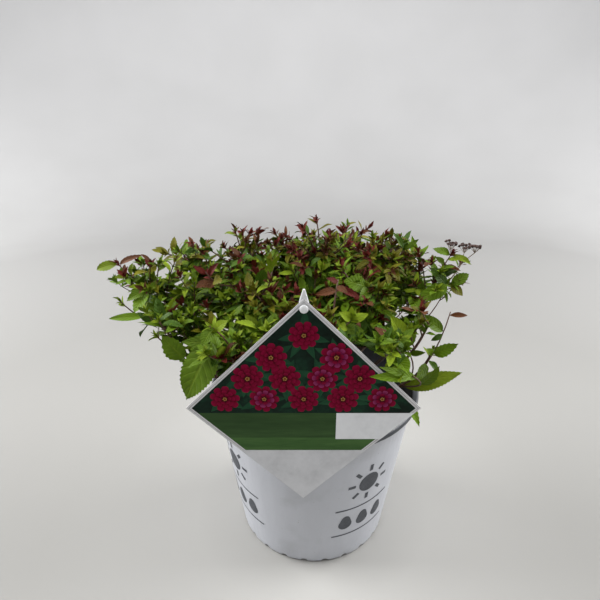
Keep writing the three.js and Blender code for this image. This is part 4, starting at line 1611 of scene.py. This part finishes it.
TUBES = {  # radius at a limb's start and at its end, sides, segments, relief
    "bough": (BOUGH.root_radius, BOUGH.end_radius, 12, 30, bark_relief),
    "leader": (BOUGH.end_radius, BOUGH.tip_radius, 9, 26, bark_relief),
    "shoot": (SHOOT.radius, SHOOT.tip_radius, 6, 8),
    "twig": (TWIG.radius, TWIG.tip_radius, 5, 5),
}


def add_base(shape):
    """The gnarled stool from which the boughs rise."""
    corners, faces = turned([(BASE.radius * share, z) for share, z in BASE.rows], turns(BASE.sides))
    for corner in corners:
        flare = noise.noise(corner / 6 + Vector((5, 0, 0))) * BASE.flare
        corner.x, corner.y = corner.x * (1 + flare), corner.y * (1 + flare)
        corner.z += BASE.z
    shape.add(corners, faces)


def make_wood(limbs):
    """The woody base and the boughs in old bark, and the leaders, shoots and twigs in young bark."""
    old, young = Shape(), Shape()
    add_base(old)
    for stem in stems:
        add_tube(old, stem.whole.stretch(0, FORK + 0.01), *TUBES["bough"])
    for limb in limbs:
        add_tube(young, limb.curve, *TUBES[limb.kind])
    boughs = [f"stem_{stem.name}" for stem in stems]
    add_piece("base_and_boughs", old, [bark("bark_old")], ["woody_base", *boughs])
    add_piece("shoots_and_twigs", young, [bark("bark_young")], masses)


def add_pod(shape, centre, outwards, radius):
    """A five-lobed dry pod, open like a small star at its top."""
    rows = [(0.15, -1), (0.8, -0.6), (1, 0), (0.85, 0.55), (0.35, 0.6), (0.1, 0.1)]
    axis = (UP * 6 + outwards).normalized()
    side = axis.orthogonal().normalized()
    over = axis.cross(side)
    corners = []
    for reach, height in rows:
        for j, turn in enumerate(turns(SEEDS.pod_sides)):
            lobe = reach * radius * (1.15 if j % 2 else 0.8)
            out = (side * math.cos(turn) + over * math.sin(turn)) * lobe
            corners.append(centre + out + axis * height * radius)
    shape.add(corners, grid_faces(len(rows), SEEDS.pod_sides))


def add_seed_head(stalks, pods, fork, number, head):
    """Pods on fine stalks that spread from one neck."""
    neck = head - UP * 1.2 * SEEDS.spread
    rise = Curve(fork, fork.lerp(neck, 0.5) + UP, neck)
    add_tube(stalks, rise, SEEDS.stalk_radius, 0.8 * SEEDS.stalk_radius, 6, 8)
    for i in range(SEEDS.pods):
        out = polar(SEEDS.spread * math.sqrt((i + 0.5) / SEEDS.pods), GOLDEN_ANGLE * i)
        end = head + out + UP * between(-1.2, 1.2, number, i)
        add_tube(stalks, Curve(neck, neck.lerp(end, 0.5) + out * 0.2, end), *SEEDS.fine_radii, 4, 3)
        add_pod(pods, end, out, SEEDS.pod_radius * between(0.75, 1.2, i, number))


def make_seed_heads(limbs):
    """Dry seed heads on a forked pale stalk, from the nearest limb of the stem at the right."""
    stalks, pods = Shape(), Shape()
    foot, fork = Vector(SEEDS.foot), Vector(SEEDS.fork)
    ends = [limb.curve.end for limb in limbs if limb.stem.name == "right"]
    root = min(ends, key=lambda end: (end - foot).length)
    add_tube(stalks, Curve(root, foot, fork), 1.5 * SEEDS.stalk_radius, SEEDS.stalk_radius, 6, 10)
    for number, head in enumerate(SEEDS.heads):
        add_seed_head(stalks, pods, fork, number, Vector(head))
    add_piece("seed_stalks", stalks, [finish("dry_stalk")], ["foliage_right"])
    add_piece("seed_pods", pods, [finish("seed_husk")], ["foliage_right"])


# ---------- stage, light and camera ----------


def painted_light_stage_finish():
    """Matt studio paper with a faint mottle, and painted light and shade that change with the distance from
    the shrub.
    """
    material = start_material("studio_paper_painted_light")
    where = object_place(material)
    mottle = maths("MULTIPLY", grain(where, 300 * MM, 2.0), 0.06)
    distance = add_node("VectorMath", {0: where}, operation="LENGTH").outputs["Value"]
    steps = maths("LOGARITHM", maths("DIVIDE", distance, STAGE.near * MM), STAGE.far / STAGE.near)
    # Painted light: a pale pool at the shrub, painted shade in a ring round it, and a paler wall in place of
    # light on it.
    tone = ramp(maths("ADD", steps, mottle), STAGE.tones, 0.0, 1.0)
    return finished(material, {"Base Color": tone, "Roughness": 0.8})


def make_stage():
    """A pale floor that turns up into a wall all round."""
    fillet = STAGE.wall_radius - STAGE.floor_radius
    bend = arc((STAGE.floor_radius, fillet), fillet, -90, 0, 16)
    profile = [(TINY, 0), (STAGE.floor_radius / 2, 0), *bend, (STAGE.wall_radius, STAGE.wall_height)]
    corners, faces = turned(profile, turns(96))
    stage = mesh_object("studio_floor", Shape().add(corners, faces), [painted_light_stage_finish()], smooth=True)


def add_lamp(name, place, size, power, target):
    """A square soft light that faces its target."""
    data = bpy.data.lights.new(name, "AREA")
    data.size = size * MM
    data.energy = power
    lamp = bpy.data.objects.new(name, data)
    lamp.location = Vector(place) * MM
    aim = Vector(target) - Vector(place)
    lamp.rotation_euler = aim.to_track_quat("-Z", "Y").to_euler()
    link(lamp)


def light_scene():
    for lamp in LAMPS:
        add_lamp(*lamp)
    world = bpy.data.worlds.new("studio")
    world.use_nodes = True
    set_inputs(world.node_tree.nodes["Background"], SKY)
    bpy.context.scene.world = world
    bpy.context.scene.view_settings.view_transform = "Standard"


def place_camera():
    """The camera of the photo."""
    data = bpy.data.cameras.new("camera")
    data.lens = CAMERA.lens
    data.sensor_width = CAMERA.sensor
    camera = bpy.data.objects.new("camera", data)
    camera.location = Vector(CAMERA.place) * MM
    camera.rotation_euler = (math.radians(CAMERA.pitch), 0, 0)
    link(camera)
    bpy.context.scene.camera = camera


# ---------- assembly ----------

stems = [stem_of(index, row) for index, row in enumerate(STEMS)]
standing = [stem for stem in stems if stem.tier != "foot"]
masses = [f"foliage_{stem.name}" for stem in stems]
for stem in stems:
    add_walls(stem, stems)
    stem.low, stem.high = box_mm(f"foliage_{stem.name}")

ruled_limbs = [limb for stem in stems for limb in grow(stem)]
ruled_limbs += [tall_limb(number, row) for number, row in enumerate(TALL_SHOOTS)]
ruled_limbs += [crest_limb(number) for number in range(CREST.count)]
sprigs = [sprig_limb(number, row) for number, row in enumerate(SPRIGS)]
leaves = [pair for limb in ruled_limbs for pair in (*leaves_along(limb), *tip_leaves(limb))]
leaves += [pair for limb, row in zip(sprigs, SPRIGS) for pair in sprig_leaves(limb, row)]

make_pot()
make_pot_print()
make_soil()
make_chips()
make_card()
make_label_print()
make_stake()
make_wood(ruled_limbs + sprigs)
make_seed_heads(ruled_limbs + sprigs)
for tint in LEAF_TINTS:
    make_leaves(tint, [leaf for name, leaf in leaves if name == tint])
make_stage()
light_scene()
place_camera()
